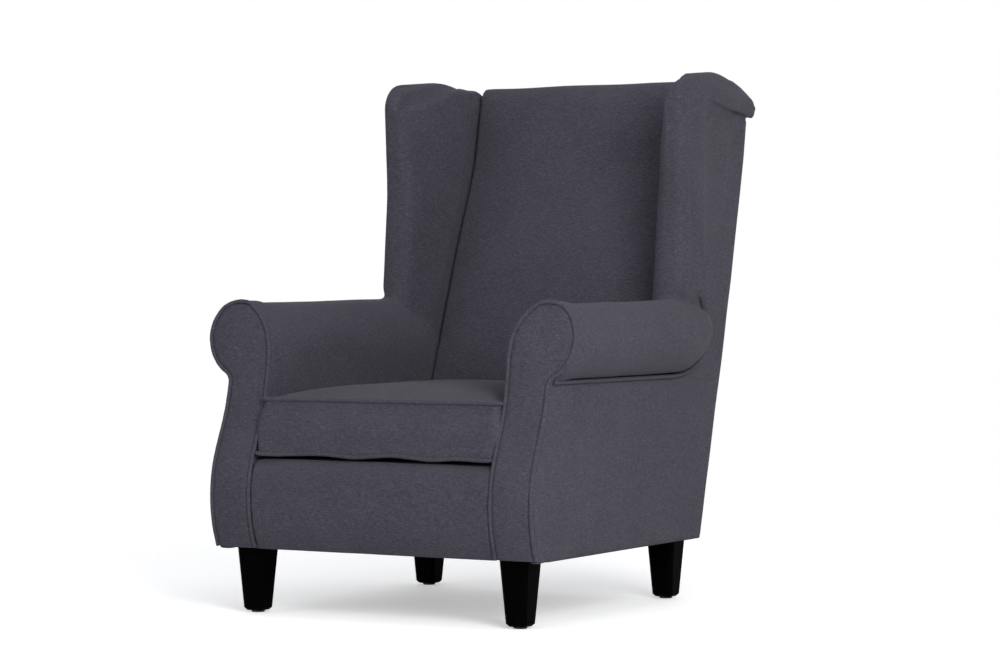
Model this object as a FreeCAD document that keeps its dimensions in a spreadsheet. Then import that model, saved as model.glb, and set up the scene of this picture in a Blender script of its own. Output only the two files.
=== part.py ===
import FreeCAD
import Part
import Sketcher
import math
import os
from types import SimpleNamespace

from FreeCAD import Vector

# Wing chair with scroll arms and a loose seat cushion, in millimetres.
# X runs to the viewer's right, Y from the front of the chair to its back and Z up.
# The origin is on the floor, under the middle of the chair's box.
# Left and right are those of someone who looks at the front of the chair.

os.makedirs("parts", exist_ok=True)
doc = FreeCAD.newDocument("WingChair")
sheet = doc.addObject("Spreadsheet::Sheet", "dims")

SIZES = {
    # Whole chair
    "seat_width": 530,
    "arm_width": 89,
    "front_reach": 489,
    "arm_height": 605,
    "top_height": 1076,
    # Base and rear line
    "leg_height": 129,
    "rear_base": 232,
    "back_rake": 218,
    "tuck_drop": 91,
    "rear_corner": 25,
    "panel": 4,
    "lining": 1.5,
    # Timber frame
    "timber": 32,
    "rail_height": 139,
    "post_depth": 45,
    "rail_setback": 28,
    "slat_height": 60,
    "lower_slat_height": 40,
    "lower_slat_rise": 30,
    "lower_slat_place": 243,
    "tack_rail_rise": 20,
    "tack_rail_height": 30,
    "arm_board_height": 25,
    "arm_board_drop": 65,
    "arm_board_width": 50,
    "wing_post_place": 153,
    "wing_post_depth": 40,
    "wing_rail_height": 30,
    "block_leg": 110,
    "block_height": 60,
    # Front face and apron
    "face_setback": 89,
    "facing": 14,
    "apron_bulge": 27,
    "apron_lip": 16,
    # Scroll arms
    "scroll_reach": 53,
    "scroll_height": 147,
    "arm_pad": 25,
    "board_inset": 5,
    "roll_end": 149,
    "roll_end_place": 93,
    # Seat deck and springs
    "deck": 27,
    "wire": 3.5,
    "spring_count": 5,
    "spring_span": 400,
    "spring_loop": 44,
    "spring_pitch": 26,
    "spring_seat": 9,
    "clip_length": 14,
    "clip_width": 16,
    "clip_height": 6,
    "clip_plate": 1,
    # Seat cushion
    "cushion_gap": 3,
    "clearance": 0.3,
    "cushion_underside": 10,
    "cushion_boxing": 103,
    "cushion_crown": 26,
    "cushion_corner": 24,
    "cushion_draw": 7,
    "cushion_front": 18,
    "cushion_lean": 25,
    "cushion_cloth": 2.5,
    "welt": 4,
    "welt_inset": 2,
    "cushion_rear_gap": 14,
    "zip_margin": 55,
    "zip_height": 24,
    "slider_length": 16,
    "slider_height": 9,
    "slider_depth": 4,
    "pull_width": 6,
    "pull_length": 22,
    # Inside back and wings
    "back_foot": 153,
    "back_depth": 340,
    "back_drop": 10,
    "back_crown": 20,
    "web": 2,
    "web_width": 50,
    "web_count": 4,
    "web_span": 390,
    "wing_roll": 33,
    "wing_ledge": 10,
    "wing_front": 104,
    "wing_seam": 226,
    "wing_tail_drop": 26,
    "tip_round": 14,
    "crest_round": 30,
    "brow_round": 35,
    # Legs and their fasteners
    "leg_top": 62,
    "leg_foot": 44,
    "leg_edge": 7,
    "foot_edge": 5,
    "front_leg_inset": 62,
    "front_leg_setback": 71,
    "rear_leg_inset": 74,
    "rear_leg_setback": 27,
    "rear_bolt_offset": 22,
    "bolt": 8,
    "bolt_depth": 50,
    "bolt_rise": 10,
    "nut_width": 18,
    "nut_height": 5,
    "glide_width": 26,
    "glide_height": 4,
    "glide_edge": 1.5,
}

for row, (alias, number) in enumerate(SIZES.items(), start=1):
    sheet.set("A%d" % row, alias.replace("_", " "))
    sheet.set("B%d" % row, str(number))
    sheet.setAlias("B%d" % row, alias)
doc.recompute()
dims = SimpleNamespace(**{alias: float(sheet.get(alias)) for alias in SIZES})

# Places that several pieces share, each written once from the driving sizes.
SIDE = "(dims.seat_width / 2 + dims.arm_width)"
SKIN = "(%s - dims.panel)" % SIDE
POST = "(%s - dims.timber)" % SKIN
TUCK = "(dims.top_height - dims.tuck_drop)"
INNER = "dims.seat_width / 2"
RAIL_FOOT = "(dims.leg_height + dims.lining)"
RAIL_TOP = "(dims.leg_height + dims.lining + dims.rail_height)"
DECK_FOOT = "(dims.leg_height + dims.lining + dims.rail_height + dims.clip_plate + dims.wire)"
DECK_TOP = "(%s + dims.deck)" % DECK_FOOT
RAIL_FRONT = "(-dims.front_reach + dims.rail_setback)"
RAIL_REAR = "(dims.rear_base - dims.panel)"
BOARD_TOP = "(dims.arm_height - dims.arm_board_drop + dims.arm_board_height)"
BOARD_FOOT = "(dims.arm_height - dims.arm_board_drop)"
SLAT_FRONT = "(dims.rear_base + dims.back_rake - dims.post_depth - dims.panel)"

# Rear line of the frame as shares of the rake and of the height from leg to tuck.
REAR_SHARES = ((0, 0), (0.6, 0.655), (0.9, 0.935), (1, 1))
# Lean of the front face as shares of its height and of face_setback.
FACE_SHARES = (
    (0, 0.24), (0.1, 0.06), (0.2, 0), (0.36, 0.135),
    (0.52, 0.51), (0.72, 0.76), (0.86, 0.84), (1, 1),
)
# Front of the apron as shares of its height and of apron_bulge.
APRON_SHARES = ((0, 0.04), (0.13, 0.57), (0.35, 0.95), (0.56, 1), (0.79, 0.92), (0.93, 0.55), (1, -0.2))
# Scroll of the arm as shares of its width and of scroll_height, from the seat side over the top.
SHOULDER_SHARES = ((0, 0.34), (0.4, 0.98))
CREST_SHARES = (0.56, 1)
FLANK_SHARES = ((1, 0.52), (0.81, 0.93))
# Rounded rear end of the scroll: shares of roll_end and of the section's size.
ROLL_END_SHARES = ((0, 1), (0.3, 0.95), (0.6, 0.82), (0.85, 0.6), (0.97, 0.36), (1, 0.14))
ROLL_AXIS_SHARE = 0.72
# Front of the inside back: shares of back_depth, of back_height and of the crown.
BACK_SHARES = ((0, 0, 0.2), (0.065, 0.16, 0.35), (0.332, 0.478, 1), (0.606, 0.775, 0.9), (0.712, 1, 0.5))
# Top roll of the inside back: shares of back_depth and of the drop from its top to the tuck.
BACK_TOP_SHARES = ((0.83, 0.047), (0.925, 0.425), (1, 0.755))
BACK_BOW_SHARES = (0, 0.75, 1, 0.75, 0)
# Middle line of the wing's roll: shares of its depth and of its height over the arm, the way that
# the roll swells there, and the share of top_height or of the roll that rounds the corner.
WING_SHARES = (
    (0, -0.24, -1, 0, 0, 0),
    (0.084, 0.514, -1, 0, 0.4, 0),
    (0.046, 0.975, -1, 1, 0.028, 1),
    (0.576, 1, 0, 1, 0.2, 0),
    (0.82, 0.965, 0.1, 1, 0.1, 0),
    (1.03, 0.905, 1, 0.1, 0.003, 0.15),
)
WING_HALFWAY_SHARE = 0.5
WING_SLICES = 8
# Crown of the cushion: shares of the inset and of the rise, from the seam inwards.
CROWN_STEP_SHARES = ((0, 0), (0.08, 0.36), (0.22, 0.64), (0.45, 0.85), (0.72, 0.96), (1, 1))
CROWN_INSET_SHARE = 0.8
# How far the middle of the cushion's front and sides is drawn in, as shares of cushion_draw.
DRAW_SHARES = (0.4, 1)
DRAW_REACH_SHARE = 0.5
# Heights of the piping's points on the straight edges of the arm's end, as shares of their length.
PIPING_SHARES = (0, 0.12, 0.25, 0.38, 0.5, 0.62, 0.76, 0.9)
PIPING_STEPS = 4
ARC_SHARE = 0.45
STRAIGHT_SHARE = 0.001
FINE_SHARE = 0.001


def size(expression):
    """Value of a shared place."""
    return float(sheet.evalExpression(expression))


body_half = size(SIDE)
body_width = 2 * body_half
tuck_height = size(TUCK)
back_height = size("dims.top_height - dims.back_drop - " + DECK_TOP)


def between(low, high, share):
    """Value at a share of the way from low to high."""
    return low + (high - low) * share


def label(piece, name):
    """Give a sub-part its label and return it."""
    piece.Label = name
    return piece


def feature(name, shape):
    """Hold a worked-out shape as a sub-part."""
    piece = doc.addObject("Part::Feature", name)
    piece.Shape = shape
    piece.Placement = FreeCAD.Placement()
    return label(piece, name)


def bind(piece, cells):
    """Bind each property named in cells to its expression."""
    for cell, expression in cells.items():
        piece.setExpression(cell, expression)
    return piece


def span(low, high, sign):
    """Expressions of a span in X, on the right or mirrored to the left."""
    return (low, high) if sign > 0 else ("-(%s)" % high, "-(%s)" % low)


def board(name, across, along, up):
    """Straight piece of timber or webbing between two expressions on each axis."""
    piece = doc.addObject("Part::Box", name)
    for axis, cell, (low, high) in zip("xyz", ("Length", "Width", "Height"), (across, along, up)):
        bind(piece, {"Placement.Base." + axis: low, cell: "(%s) - (%s)" % (high, low)})
    return label(piece, name)


def cut(name, base, *tools):
    """Take the tools' solids out of a base, as one sub-part."""
    label(base, name + "_blank")
    piece = base
    for count, tool in enumerate(tools):
        trimmed = doc.addObject("Part::Cut", "%s_cut_%d" % (name, count))
        trimmed.Base = piece
        trimmed.Tool = tool
        piece = trimmed
    return label(piece, name)


def common(name, base, tool):
    """Keep what a base shares with a tool, as one sub-part."""
    label(base, name + "_blank")
    kept = doc.addObject("Part::Common", name + "_trimmed")
    kept.Base = base
    kept.Tool = tool
    return label(kept, name)


def mirrored(shape, sign):
    """The right-hand shape, or its mirror image on the left."""
    return shape if sign > 0 else shape.mirror(Vector(0, 0, 0), Vector(1, 0, 0))


def upright_arc(start, end):
    """Arc that leaves start upright, in its plane along Y, and bends over to end."""
    across_run = end.x - start.x
    rise = end.z - start.z
    radius = (across_run ** 2 + rise ** 2) / (2 * across_run)
    centre = start + Vector(radius, 0, 0)
    turn = math.atan2(rise, abs(radius) - abs(across_run)) / 2
    middle = centre + Vector(-radius * math.cos(turn), 0, abs(radius) * math.sin(turn))
    return Part.Arc(start, middle, end).toShape()


def closed(edges):
    """Face inside edges that meet end to end."""
    return Part.Face(Part.Wire(Part.__sortEdges__(edges)))


def profile(points):
    """Smooth edge through points."""
    curve = Part.BSplineCurve()
    curve.interpolate(points)
    return curve.toShape()


def polyline(points):
    """Straight edges through points."""
    return [Part.LineSegment(a, b).toShape() for a, b in zip(points, points[1:])]


def half_turn(points, index):
    """Half of the angle at a point between the runs to its neighbours."""
    back = points[index - 1] - points[index]
    ahead = points[(index + 1) % len(points)] - points[index]
    return back.getAngle(ahead) / 2


def softened(points, trims, ring=False):
    """Edges through points, each corner cut back by its trim and replaced by a tangent arc."""
    ends = []
    for index, (point, trim) in enumerate(zip(points, trims)):
        if not trim:
            ends.append((point, point, None))
            continue
        back = points[index - 1] - point
        ahead = points[(index + 1) % len(points)] - point
        back.normalize()
        ahead.normalize()
        half = back.getAngle(ahead) / 2
        radius = trim * math.tan(half)
        inward = back + ahead
        inward.normalize()
        middle = point + inward * (radius / math.sin(half) - radius)
        start = point + back * trim
        end = point + ahead * trim
        ends.append((start, end, Part.Arc(start, middle, end).toShape()))
    edges = []
    for index, (start, end, arc) in enumerate(ends):
        if index or ring:
            edges.append(Part.LineSegment(ends[index - 1][1], start).toShape())
        if arc:
            edges.append(arc)
    return edges


def rounded_path(points):
    """Wire of straight runs through points, joined by tangent arcs as large as the runs allow."""
    trims = [0]
    for index in range(1, len(points) - 1):
        runs = [(points[index] - points[beside]).Length for beside in (index - 1, index + 1)]
        straight = math.pi / 2 - half_turn(points, index) < STRAIGHT_SHARE
        trims.append(0 if straight else ARC_SHARE * min(runs))
    return Part.Wire(softened(points, trims + [0]))


def tube(points, radius):
    """Round cord along a path of straight runs and tangent arcs."""
    path = rounded_path(points)
    start = points[1] - points[0]
    section = Part.Wire(Part.Circle(points[0], start, radius).toShape())
    return path.makePipeShell([section], True, False)


def rounded_face(corners):
    """Face in the plane X = 0 inside (y, z, radius) corners, each rounded by its radius."""
    points = [Vector(0, y, z) for y, z, _ in corners]
    trims = [radius / math.tan(half_turn(points, index)) for index, (_, _, radius) in enumerate(corners)]
    return closed(softened(points, trims, True))


def across(face, low, high):
    """Solid of a face in the plane X = 0, drawn out from low to high in X."""
    moved = face.copy()
    moved.translate(Vector(low, 0, 0))
    return moved.extrude(Vector(high - low, 0, 0))


def rear_line(inset=0, foot=None):
    """Points (y, z) of the raked rear line, moved forwards by inset."""
    foot = dims.leg_height if foot is None else foot
    heights = [between(dims.leg_height, tuck_height, share) for share, _ in REAR_SHARES]
    inside = [height for height in heights if foot < height < tuck_height]
    return [(rear_at(height) - inset, height) for height in [foot] + inside + [tuck_height]]


def rear_at(height):
    """Rear line's Y at a height."""
    share = (height - dims.leg_height) / (tuck_height - dims.leg_height)
    for (low, start), (high, end) in zip(REAR_SHARES, REAR_SHARES[1:]):
        if share <= high:
            break
    rake = between(start, end, (share - low) / (high - low))
    return dims.rear_base + dims.back_rake * rake


def face_points(depth=0):
    """Points of the front face's profile, moved back by depth."""
    low = dims.leg_height
    return [
        Vector(0, -dims.front_reach + dims.face_setback * lean + depth, between(low, dims.arm_height, rise))
        for rise, lean in FACE_SHARES
    ]


def face_band(near, far):
    """Solid between the front profile moved back by near and by far, as wide as the chair."""
    front = face_points(near)
    back = face_points(far)
    edges = [profile(front), profile(back)] + polyline([front[0], back[0]]) + polyline([front[-1], back[-1]])
    return across(closed(edges), -body_width, body_width)


def before_posts():
    """Space in front of the back posts, as wide as the chair."""
    line = [Vector(0, y, z) for y, z in rear_line(dims.panel + dims.post_depth)]
    front = -body_width
    points = [Vector(0, front, line[0].z)] + line + [Vector(0, front, line[-1].z)]
    return across(closed(polyline(points + points[:1])), -body_width, body_width)


def keyhole(inset, foot, sign):
    """Outline of the arm's end, below and round the scroll, drawn out through the front."""
    low = dims.seat_width / 2 + inset
    side = body_half - inset
    width = side + dims.scroll_reach - low
    neck = dims.arm_height - dims.scroll_height
    height = dims.scroll_height - inset

    def at(shares):
        return Vector(low + width * shares[0], -dims.front_reach, neck + height * shares[1])

    shoulder = [at(shares) for shares in SHOULDER_SHARES]
    flank = [at(shares) for shares in FLANK_SHARES]
    corner = Vector(side, -dims.front_reach, neck)
    base_inner = Vector(low, -dims.front_reach, foot)
    base_outer = Vector(side, -dims.front_reach, foot)
    edges = [
        upright_arc(*shoulder),
        Part.Arc(shoulder[1], at(CREST_SHARES), flank[1]).toShape(),
        upright_arc(*flank),
        upright_arc(flank[0], corner),
    ]
    edges += polyline([corner, base_outer, base_inner, shoulder[0]])
    return mirrored(closed(edges), sign)


def keyhole_block(inset, foot, sign):
    """Keyhole outline as a solid through the whole front face."""
    face = keyhole(inset, foot, sign)
    face.translate(Vector(0, -dims.facing, 0))
    return face.extrude(Vector(0, dims.face_setback + dims.facing + dims.facing + dims.timber, 0))


def loft(wires, ruled=False):
    """Closed solid through wires."""
    return Part.makeLoft(wires, True, ruled)


# Legs, glides and leg fasteners

def leg(name, across_place, along_place, bolt_offset):
    """Tapered square leg with flattened edges and a bore for its hanger bolt."""
    body = doc.addObject("PartDesign::Body", name)
    bind(body, {
        "Placement.Base.x": across_place,
        "Placement.Base.y": along_place,
        "Placement.Base.z": "dims.glide_height",
    })
    plane = [item for item in body.Origin.OriginFeatures if item.Role == "XY_Plane"][0]
    sketch = body.newObject("Sketcher::SketchObject", name + "_foot")
    sketch.AttachmentSupport = [(plane, "")]
    sketch.MapMode = "FlatFace"
    half = dims.leg_foot / 2
    corners = [Vector(-half, -half, 0), Vector(half, -half, 0), Vector(half, half, 0), Vector(-half, half, 0)]
    for index in range(4):
        sketch.addGeometry(Part.LineSegment(corners[index], corners[(index + 1) % 4]), False)
    for index in range(4):
        sketch.addConstraint(Sketcher.Constraint("Coincident", index, 2, (index + 1) % 4, 1))
    for index, sense in ((0, -1), (1, 1), (2, 1), (3, -1)):
        kind = "DistanceY" if index % 2 == 0 else "DistanceX"
        place = sketch.addConstraint(Sketcher.Constraint(kind, -1, 1, index, 1, sense * half))
        sketch.setExpression("Constraints[%d]" % place, "%d * dims.leg_foot / 2" % sense)
        line_kind = "Horizontal" if index % 2 == 0 else "Vertical"
        sketch.addConstraint(Sketcher.Constraint(line_kind, index))
    pad = body.newObject("PartDesign::Pad", name + "_taper")
    pad.Profile = sketch
    bind(pad, {
        "Length": "dims.leg_height - dims.glide_height",
        "TaperAngle": "atan((dims.leg_top - dims.leg_foot) / 2 / (dims.leg_height - dims.glide_height))",
    })
    doc.recompute()
    edges = []
    for index, edge in enumerate(pad.Shape.Edges, start=1):
        ends = [vertex.Point.z for vertex in edge.Vertexes]
        if max(ends) - min(ends) > dims.leg_edge:
            edges.append("Edge%d" % index)
    chamfer = body.newObject("PartDesign::Chamfer", name + "_edges")
    chamfer.Base = (pad, edges)
    bind(chamfer, {"Size": "dims.leg_edge"})
    doc.recompute()
    ring = [
        "Edge%d" % index for index, edge in enumerate(chamfer.Shape.Edges, start=1)
        if max(vertex.Point.z for vertex in edge.Vertexes) < dims.foot_edge / 2
    ]
    foot = body.newObject("PartDesign::Chamfer", name + "_foot_edge")
    foot.Base = (chamfer, ring)
    bind(foot, {"Size": "dims.foot_edge"})
    body.Tip = foot
    bore = doc.addObject("Part::Cylinder", name + "_bore")
    bind(bore, {
        "Placement.Base.x": across_place,
        "Placement.Base.y": "%s + %s" % (along_place, bolt_offset),
        "Placement.Base.z": "dims.leg_height - dims.bolt_depth",
        "Radius": "dims.bolt / 2",
        "Height": "dims.bolt_depth + dims.lining + dims.block_height",
    })
    return cut(name, body, bore), bore


def glide(name, across_place, along_place):
    """Nail-on glide under a leg, with its lower edge eased."""
    disc = doc.addObject("Part::Cylinder", name + "_disc")
    bind(disc, {
        "Placement.Base.x": across_place,
        "Placement.Base.y": along_place,
        "Radius": "dims.glide_width / 2",
        "Height": "dims.glide_height",
    })
    doc.recompute()
    lower = [
        index for index, edge in enumerate(disc.Shape.Edges, start=1)
        if max(vertex.Point.z for vertex in edge.Vertexes) < dims.glide_edge
    ]
    eased = doc.addObject("Part::Fillet", name)
    eased.Base = disc
    eased.Edges = [(index, dims.glide_edge, dims.glide_edge) for index in lower]
    return label(eased, name)


def cylinder(name, across_place, along_place, foot, height, radius):
    """Upright cylinder bound to expressions."""
    piece = doc.addObject("Part::Cylinder", name)
    bind(piece, {
        "Placement.Base.x": across_place,
        "Placement.Base.y": along_place,
        "Placement.Base.z": foot,
        "Height": height,
        "Radius": radius,
    })
    return piece


def fuse(name, pieces):
    """Several bound solids kept as one sub-part."""
    group = doc.addObject("Part::Compound", name)
    group.Links = pieces
    return label(group, name)


LEGS = []
for end, sense, inset, place in (
    ("front", 0, "dims.front_leg_inset", "(-dims.front_reach + dims.front_leg_setback)"),
    ("rear", 1, "dims.rear_leg_inset", "(dims.rear_base - dims.rear_leg_setback)"),
):
    for side, sign in (("left", -1), ("right", 1)):
        centre = "(%d * (%s - %s))" % (sign, SIDE, inset)
        offset = "(-%d * dims.rear_bolt_offset)" % sense
        LEGS.append(("%s_%s" % (end, side), end, sign, centre, place, offset))

nodes = []
bores = []
bolts = []
nuts = []
for name, end, sign, centre, place, offset in LEGS:
    piece, bore = leg("leg_" + name, centre, place, offset)
    nodes.append(piece)
    bores.append(bore)
    nodes.append(glide("glide_" + name, centre, place))
    bolt_place = "(%s + %s)" % (place, offset)
    bolt_length = "dims.bolt_depth + dims.lining + dims.block_height + dims.bolt_rise"
    bolt_foot = "dims.leg_height - dims.bolt_depth"
    bolts.append(cylinder("bolt_" + name, centre, bolt_place, bolt_foot, bolt_length, "dims.bolt / 2"))
    nut_foot = RAIL_FOOT + " + dims.block_height"
    flange = cylinder("nut_" + name, centre, bolt_place, nut_foot, "dims.nut_height", "dims.nut_width / 2")
    nut = doc.addObject("Part::Cut", "threaded_nut_" + name)
    nut.Base = flange
    nut.Tool = bolts[-1]
    nuts.append(nut)
nodes.append(fuse("hanger_bolts", bolts))
nodes.append(fuse("tee_nuts", nuts))

# Timber frame: posts, rails, boards and corner blocks

doc.recompute()
arm_boards = {}
back_posts = {}
for side, sign in (("left", -1), ("right", 1)):
    foot = size(RAIL_FOOT)
    end_shape = keyhole_block(dims.board_inset, foot, sign)
    band = face_band(dims.facing, dims.facing + dims.timber)
    arm_boards[side] = feature("arm_front_post_" + side, end_shape.common(band))
    nodes.append(arm_boards[side])


def rounded_corner(low, high, reach, depth, radius, height):
    """Section of a rear post at a height, with its outer rear corner rounded."""
    rear = rear_at(height) - reach
    diagonal = radius * math.sqrt(0.5)
    start = Vector(high, rear - radius, height)
    middle = Vector(high - radius + diagonal, rear - radius + diagonal, height)
    end = Vector(high - radius, rear, height)
    plan = ((low, rear), (low, rear - depth), (high, rear - depth))
    corners = [end] + [Vector(x, y, height) for x, y in plan]
    return Part.Wire([Part.Arc(start, middle, end).toShape()] + polyline(corners + [start]))


for side, sign in (("left", -1), ("right", 1)):
    heights = [height for _, height in rear_line(foot=size(RAIL_FOOT))]
    rounding = dims.rear_corner - dims.panel
    sections = [
        rounded_corner(size(POST), size(SKIN), dims.panel, dims.post_depth, rounding, height)
        for height in heights
    ]
    back_posts[side] = feature("back_post_" + side, mirrored(loft(sections, True), sign))
    nodes.append(back_posts[side])


def front_rail():
    """Front seat rail, sketched in plan and padded up."""
    body = doc.addObject("PartDesign::Body", "front_rail")
    bind(body, {"Placement.Base.z": RAIL_FOOT})
    plane = [item for item in body.Origin.OriginFeatures if item.Role == "XY_Plane"][0]
    sketch = body.newObject("Sketcher::SketchObject", "front_rail_plan")
    sketch.AttachmentSupport = [(plane, "")]
    sketch.MapMode = "FlatFace"
    half = size(INNER) + dims.board_inset
    front = size(RAIL_FRONT)
    rear = front + dims.timber
    corners = [Vector(-half, front, 0), Vector(half, front, 0), Vector(half, rear, 0), Vector(-half, rear, 0)]
    for index in range(4):
        sketch.addGeometry(Part.LineSegment(corners[index], corners[(index + 1) % 4]), False)
    for index in range(4):
        sketch.addConstraint(Sketcher.Constraint("Coincident", index, 2, (index + 1) % 4, 1))
        sketch.addConstraint(Sketcher.Constraint("Horizontal" if index % 2 == 0 else "Vertical", index))
    wide = "(%s + dims.board_inset)" % INNER
    for kind, index, value, expression in (
        ("DistanceX", 0, -half, "-" + wide),
        ("DistanceX", 1, half, wide),
        ("DistanceY", 0, front, RAIL_FRONT),
        ("DistanceY", 2, rear, RAIL_FRONT + " + dims.timber"),
    ):
        place = sketch.addConstraint(Sketcher.Constraint(kind, -1, 1, index, 1, value))
        sketch.setExpression("Constraints[%d]" % place, expression)
    pad = body.newObject("PartDesign::Pad", "front_rail_height")
    pad.Profile = sketch
    bind(pad, {"Length": "dims.rail_height"})
    body.Tip = pad
    return label(body, "front_rail")


seat_front_rail = front_rail()
nodes.append(seat_front_rail)
rear_rail_span = ("-" + POST, POST)
rail_heights = (RAIL_FOOT, RAIL_TOP)
nodes.append(board("rear_rail", rear_rail_span, (RAIL_REAR + " - dims.timber", RAIL_REAR), rail_heights))
nodes.append(board(
    "top_back_rail", rear_rail_span, (SLAT_FRONT, SLAT_FRONT + " + dims.timber"),
    (TUCK + " - dims.slat_height", TUCK),
))
lower_foot = DECK_TOP + " + dims.lower_slat_rise"
low_slat = board(
    "lower_back_rail", rear_rail_span, ("dims.lower_slat_place", "dims.lower_slat_place + dims.timber"),
    (lower_foot, lower_foot + " + dims.lower_slat_height"),
)
nodes.append(low_slat)

# Rails along each side, trimmed to the space between the front and the back posts.
far = dims.front_reach + dims.rear_base + dims.back_rake
between_posts = feature("between_posts", before_posts().common(face_band(dims.facing + dims.timber, far)))
ahead_of_posts = feature("ahead_of_posts", before_posts())
full_reach = ("-dims.front_reach", "dims.rear_base + dims.back_rake")
side_boards = {}
wing_timbers = {}
for side, sign in (("left", -1), ("right", 1)):
    outer = span(POST, SKIN, sign)
    rail = board("side_rail_board", outer, full_reach, rail_heights)
    nodes.append(common("side_rail_" + side, rail, between_posts))
    tack_foot = DECK_TOP + " - dims.tack_rail_rise"
    tack_across = span("(%s + dims.arm_pad)" % INNER, "(%s + dims.arm_pad + dims.timber)" % INNER, sign)
    tack_up = (tack_foot, tack_foot + " + dims.tack_rail_height")
    tack = board("arm_tack_board", tack_across, full_reach, tack_up)
    nodes.append(common("arm_tack_rail_" + side, tack, between_posts))
    arm_across = span("(%s - dims.arm_board_width)" % SKIN, SKIN, sign)
    top = board("arm_top_board", arm_across, full_reach, (BOARD_FOOT, BOARD_TOP))
    side_boards[side] = common("arm_top_rail_" + side, top, between_posts)
    nodes.append(side_boards[side])
    rail_foot = "(%s - dims.wing_rail_height)" % TUCK
    wing_place = ("dims.wing_post_place", "dims.wing_post_place + dims.wing_post_depth")
    upright = board("wing_post_" + side, outer, wing_place, (BOARD_TOP, rail_foot))
    wing_reach = ("dims.wing_post_place", "dims.rear_base + dims.back_rake")
    wing_top = board("wing_top_board", outer, wing_reach, (rail_foot, TUCK))
    wing_rail = common("wing_top_rail_" + side, wing_top, ahead_of_posts)
    wing_timbers[side] = (upright, wing_rail)
    nodes += [upright, wing_rail]


def corner_block(name, end, sign, bore):
    """Glued triangular block between two seat rails, with the hanger bolt's bore."""
    body = doc.addObject("PartDesign::Body", name)
    plane = [item for item in body.Origin.OriginFeatures if item.Role == "XY_Plane"][0]
    sketch = body.newObject("Sketcher::SketchObject", name + "_plan")
    sketch.AttachmentSupport = [(plane, "")]
    sketch.MapMode = "FlatFace"
    front = end == "front"
    sense = 1 if front else -1
    corner_x = "%d * %s" % (sign, POST)
    corner_y = RAIL_FRONT + " + dims.timber" if front else RAIL_REAR + " - dims.timber"
    bind(body, {
        "Placement.Base.x": corner_x,
        "Placement.Base.y": corner_y,
        "Placement.Base.z": RAIL_FOOT,
    })
    reach = dims.block_leg
    corners = [Vector(0, 0, 0), Vector(-sign * reach, 0, 0), Vector(0, sense * reach, 0)]
    for index in range(3):
        sketch.addGeometry(Part.LineSegment(corners[index], corners[(index + 1) % 3]), False)
    for index in range(3):
        sketch.addConstraint(Sketcher.Constraint("Coincident", index, 2, (index + 1) % 3, 1))
    sketch.addConstraint(Sketcher.Constraint("Coincident", 0, 1, -1, 1))
    sketch.addConstraint(Sketcher.Constraint("Horizontal", 0))
    sketch.addConstraint(Sketcher.Constraint("Vertical", 2))
    for kind, index, value in (("DistanceX", 1, -sign), ("DistanceY", 2, sense)):
        place = sketch.addConstraint(Sketcher.Constraint(kind, -1, 1, index, 1, value * reach))
        sketch.setExpression("Constraints[%d]" % place, "%d * dims.block_leg" % value)
    pad = body.newObject("PartDesign::Pad", name + "_height")
    pad.Profile = sketch
    bind(pad, {"Length": "dims.block_height"})
    body.Tip = pad
    side = "right" if sign > 0 else "left"
    tools = [bore, arm_boards[side]] if front else [bore]
    return cut(name, body, *tools)


blocks = [corner_block("block_" + name, end, sign, bore) for (name, end, sign, *_), bore in zip(LEGS, bores)]
nodes.append(fuse("corner_blocks", blocks))

lining_side = "(%s - dims.rear_corner)" % SKIN
lining_reach = (RAIL_FRONT + " + dims.facing", RAIL_REAR)
lining = board("lining_blank", ("-" + lining_side, lining_side), lining_reach, ("dims.leg_height", RAIL_FOOT))
nodes.append(cut("dust_cover", lining, *bores))

# Seat springs, their clips and the deck over them

doc.recompute()
wire_radius = dims.wire / 2
wire_height = size(RAIL_TOP) + dims.clip_plate + wire_radius
spring_start = size(RAIL_FRONT) + dims.timber - dims.spring_seat
spring_end = size(RAIL_REAR) - dims.timber + dims.spring_seat


def spring(middle):
    """One sinuous spring: straight cross runs joined by half turns, from rail to rail."""
    turns = int((spring_end - spring_start) // dims.spring_pitch)
    pitch = (spring_end - spring_start) / turns
    half_run = dims.spring_loop / 2 - pitch / 2
    edges = []
    for turn in range(turns + 1):
        place = spring_start + pitch * turn
        sense = 1 if turn % 2 == 0 else -1
        low = Vector(middle - sense * half_run, place, wire_height)
        high = Vector(middle + sense * half_run, place, wire_height)
        edges.append(Part.LineSegment(low, high).toShape())
        if turn < turns:
            far = Vector(high.x + sense * pitch / 2, place + pitch / 2, wire_height)
            back = Vector(high.x, place + pitch, wire_height)
            edges.append(Part.Arc(high, far, back).toShape())
    start = edges[0].Vertexes[0].Point
    section = Part.Wire(Part.Circle(start, Vector(1, 0, 0), wire_radius).toShape())
    return Part.Wire(edges).makePipeShell([section], True, False)


count = int(dims.spring_count)
spring_places = [dims.spring_span * (turn / (count - 1) - 0.5) for turn in range(count)]
wires = [spring(place) for place in spring_places]
springs = Part.makeCompound(wires)
nodes.append(feature("seat_springs", springs))
clips = []
for place in spring_places:
    for end in (spring_start, spring_end):
        base = Vector(place - dims.clip_width / 2, end - dims.clip_length / 2, size(RAIL_TOP))
        clip = Part.makeBox(dims.clip_width, dims.clip_length, dims.clip_height, base)
        start = Vector(base.x, end, wire_height)
        eye = Part.makeCylinder(wire_radius, dims.clip_width, start, Vector(1, 0, 0))
        clips.append(clip.cut(eye))
clips = Part.makeCompound(clips)
nodes.append(feature("spring_clips", clips))
deck_low = Vector(-size(INNER), size(RAIL_FRONT) + dims.apron_lip, size(DECK_FOOT))
deck_length = size(RAIL_REAR) - deck_low.y
deck_pad = Part.makeBox(dims.seat_width, deck_length, dims.deck, deck_low)
nodes.append(feature("seat_deck", deck_pad.cut(clips)))

# Outer skin of one side, with the rounded strip at its rear corner


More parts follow.
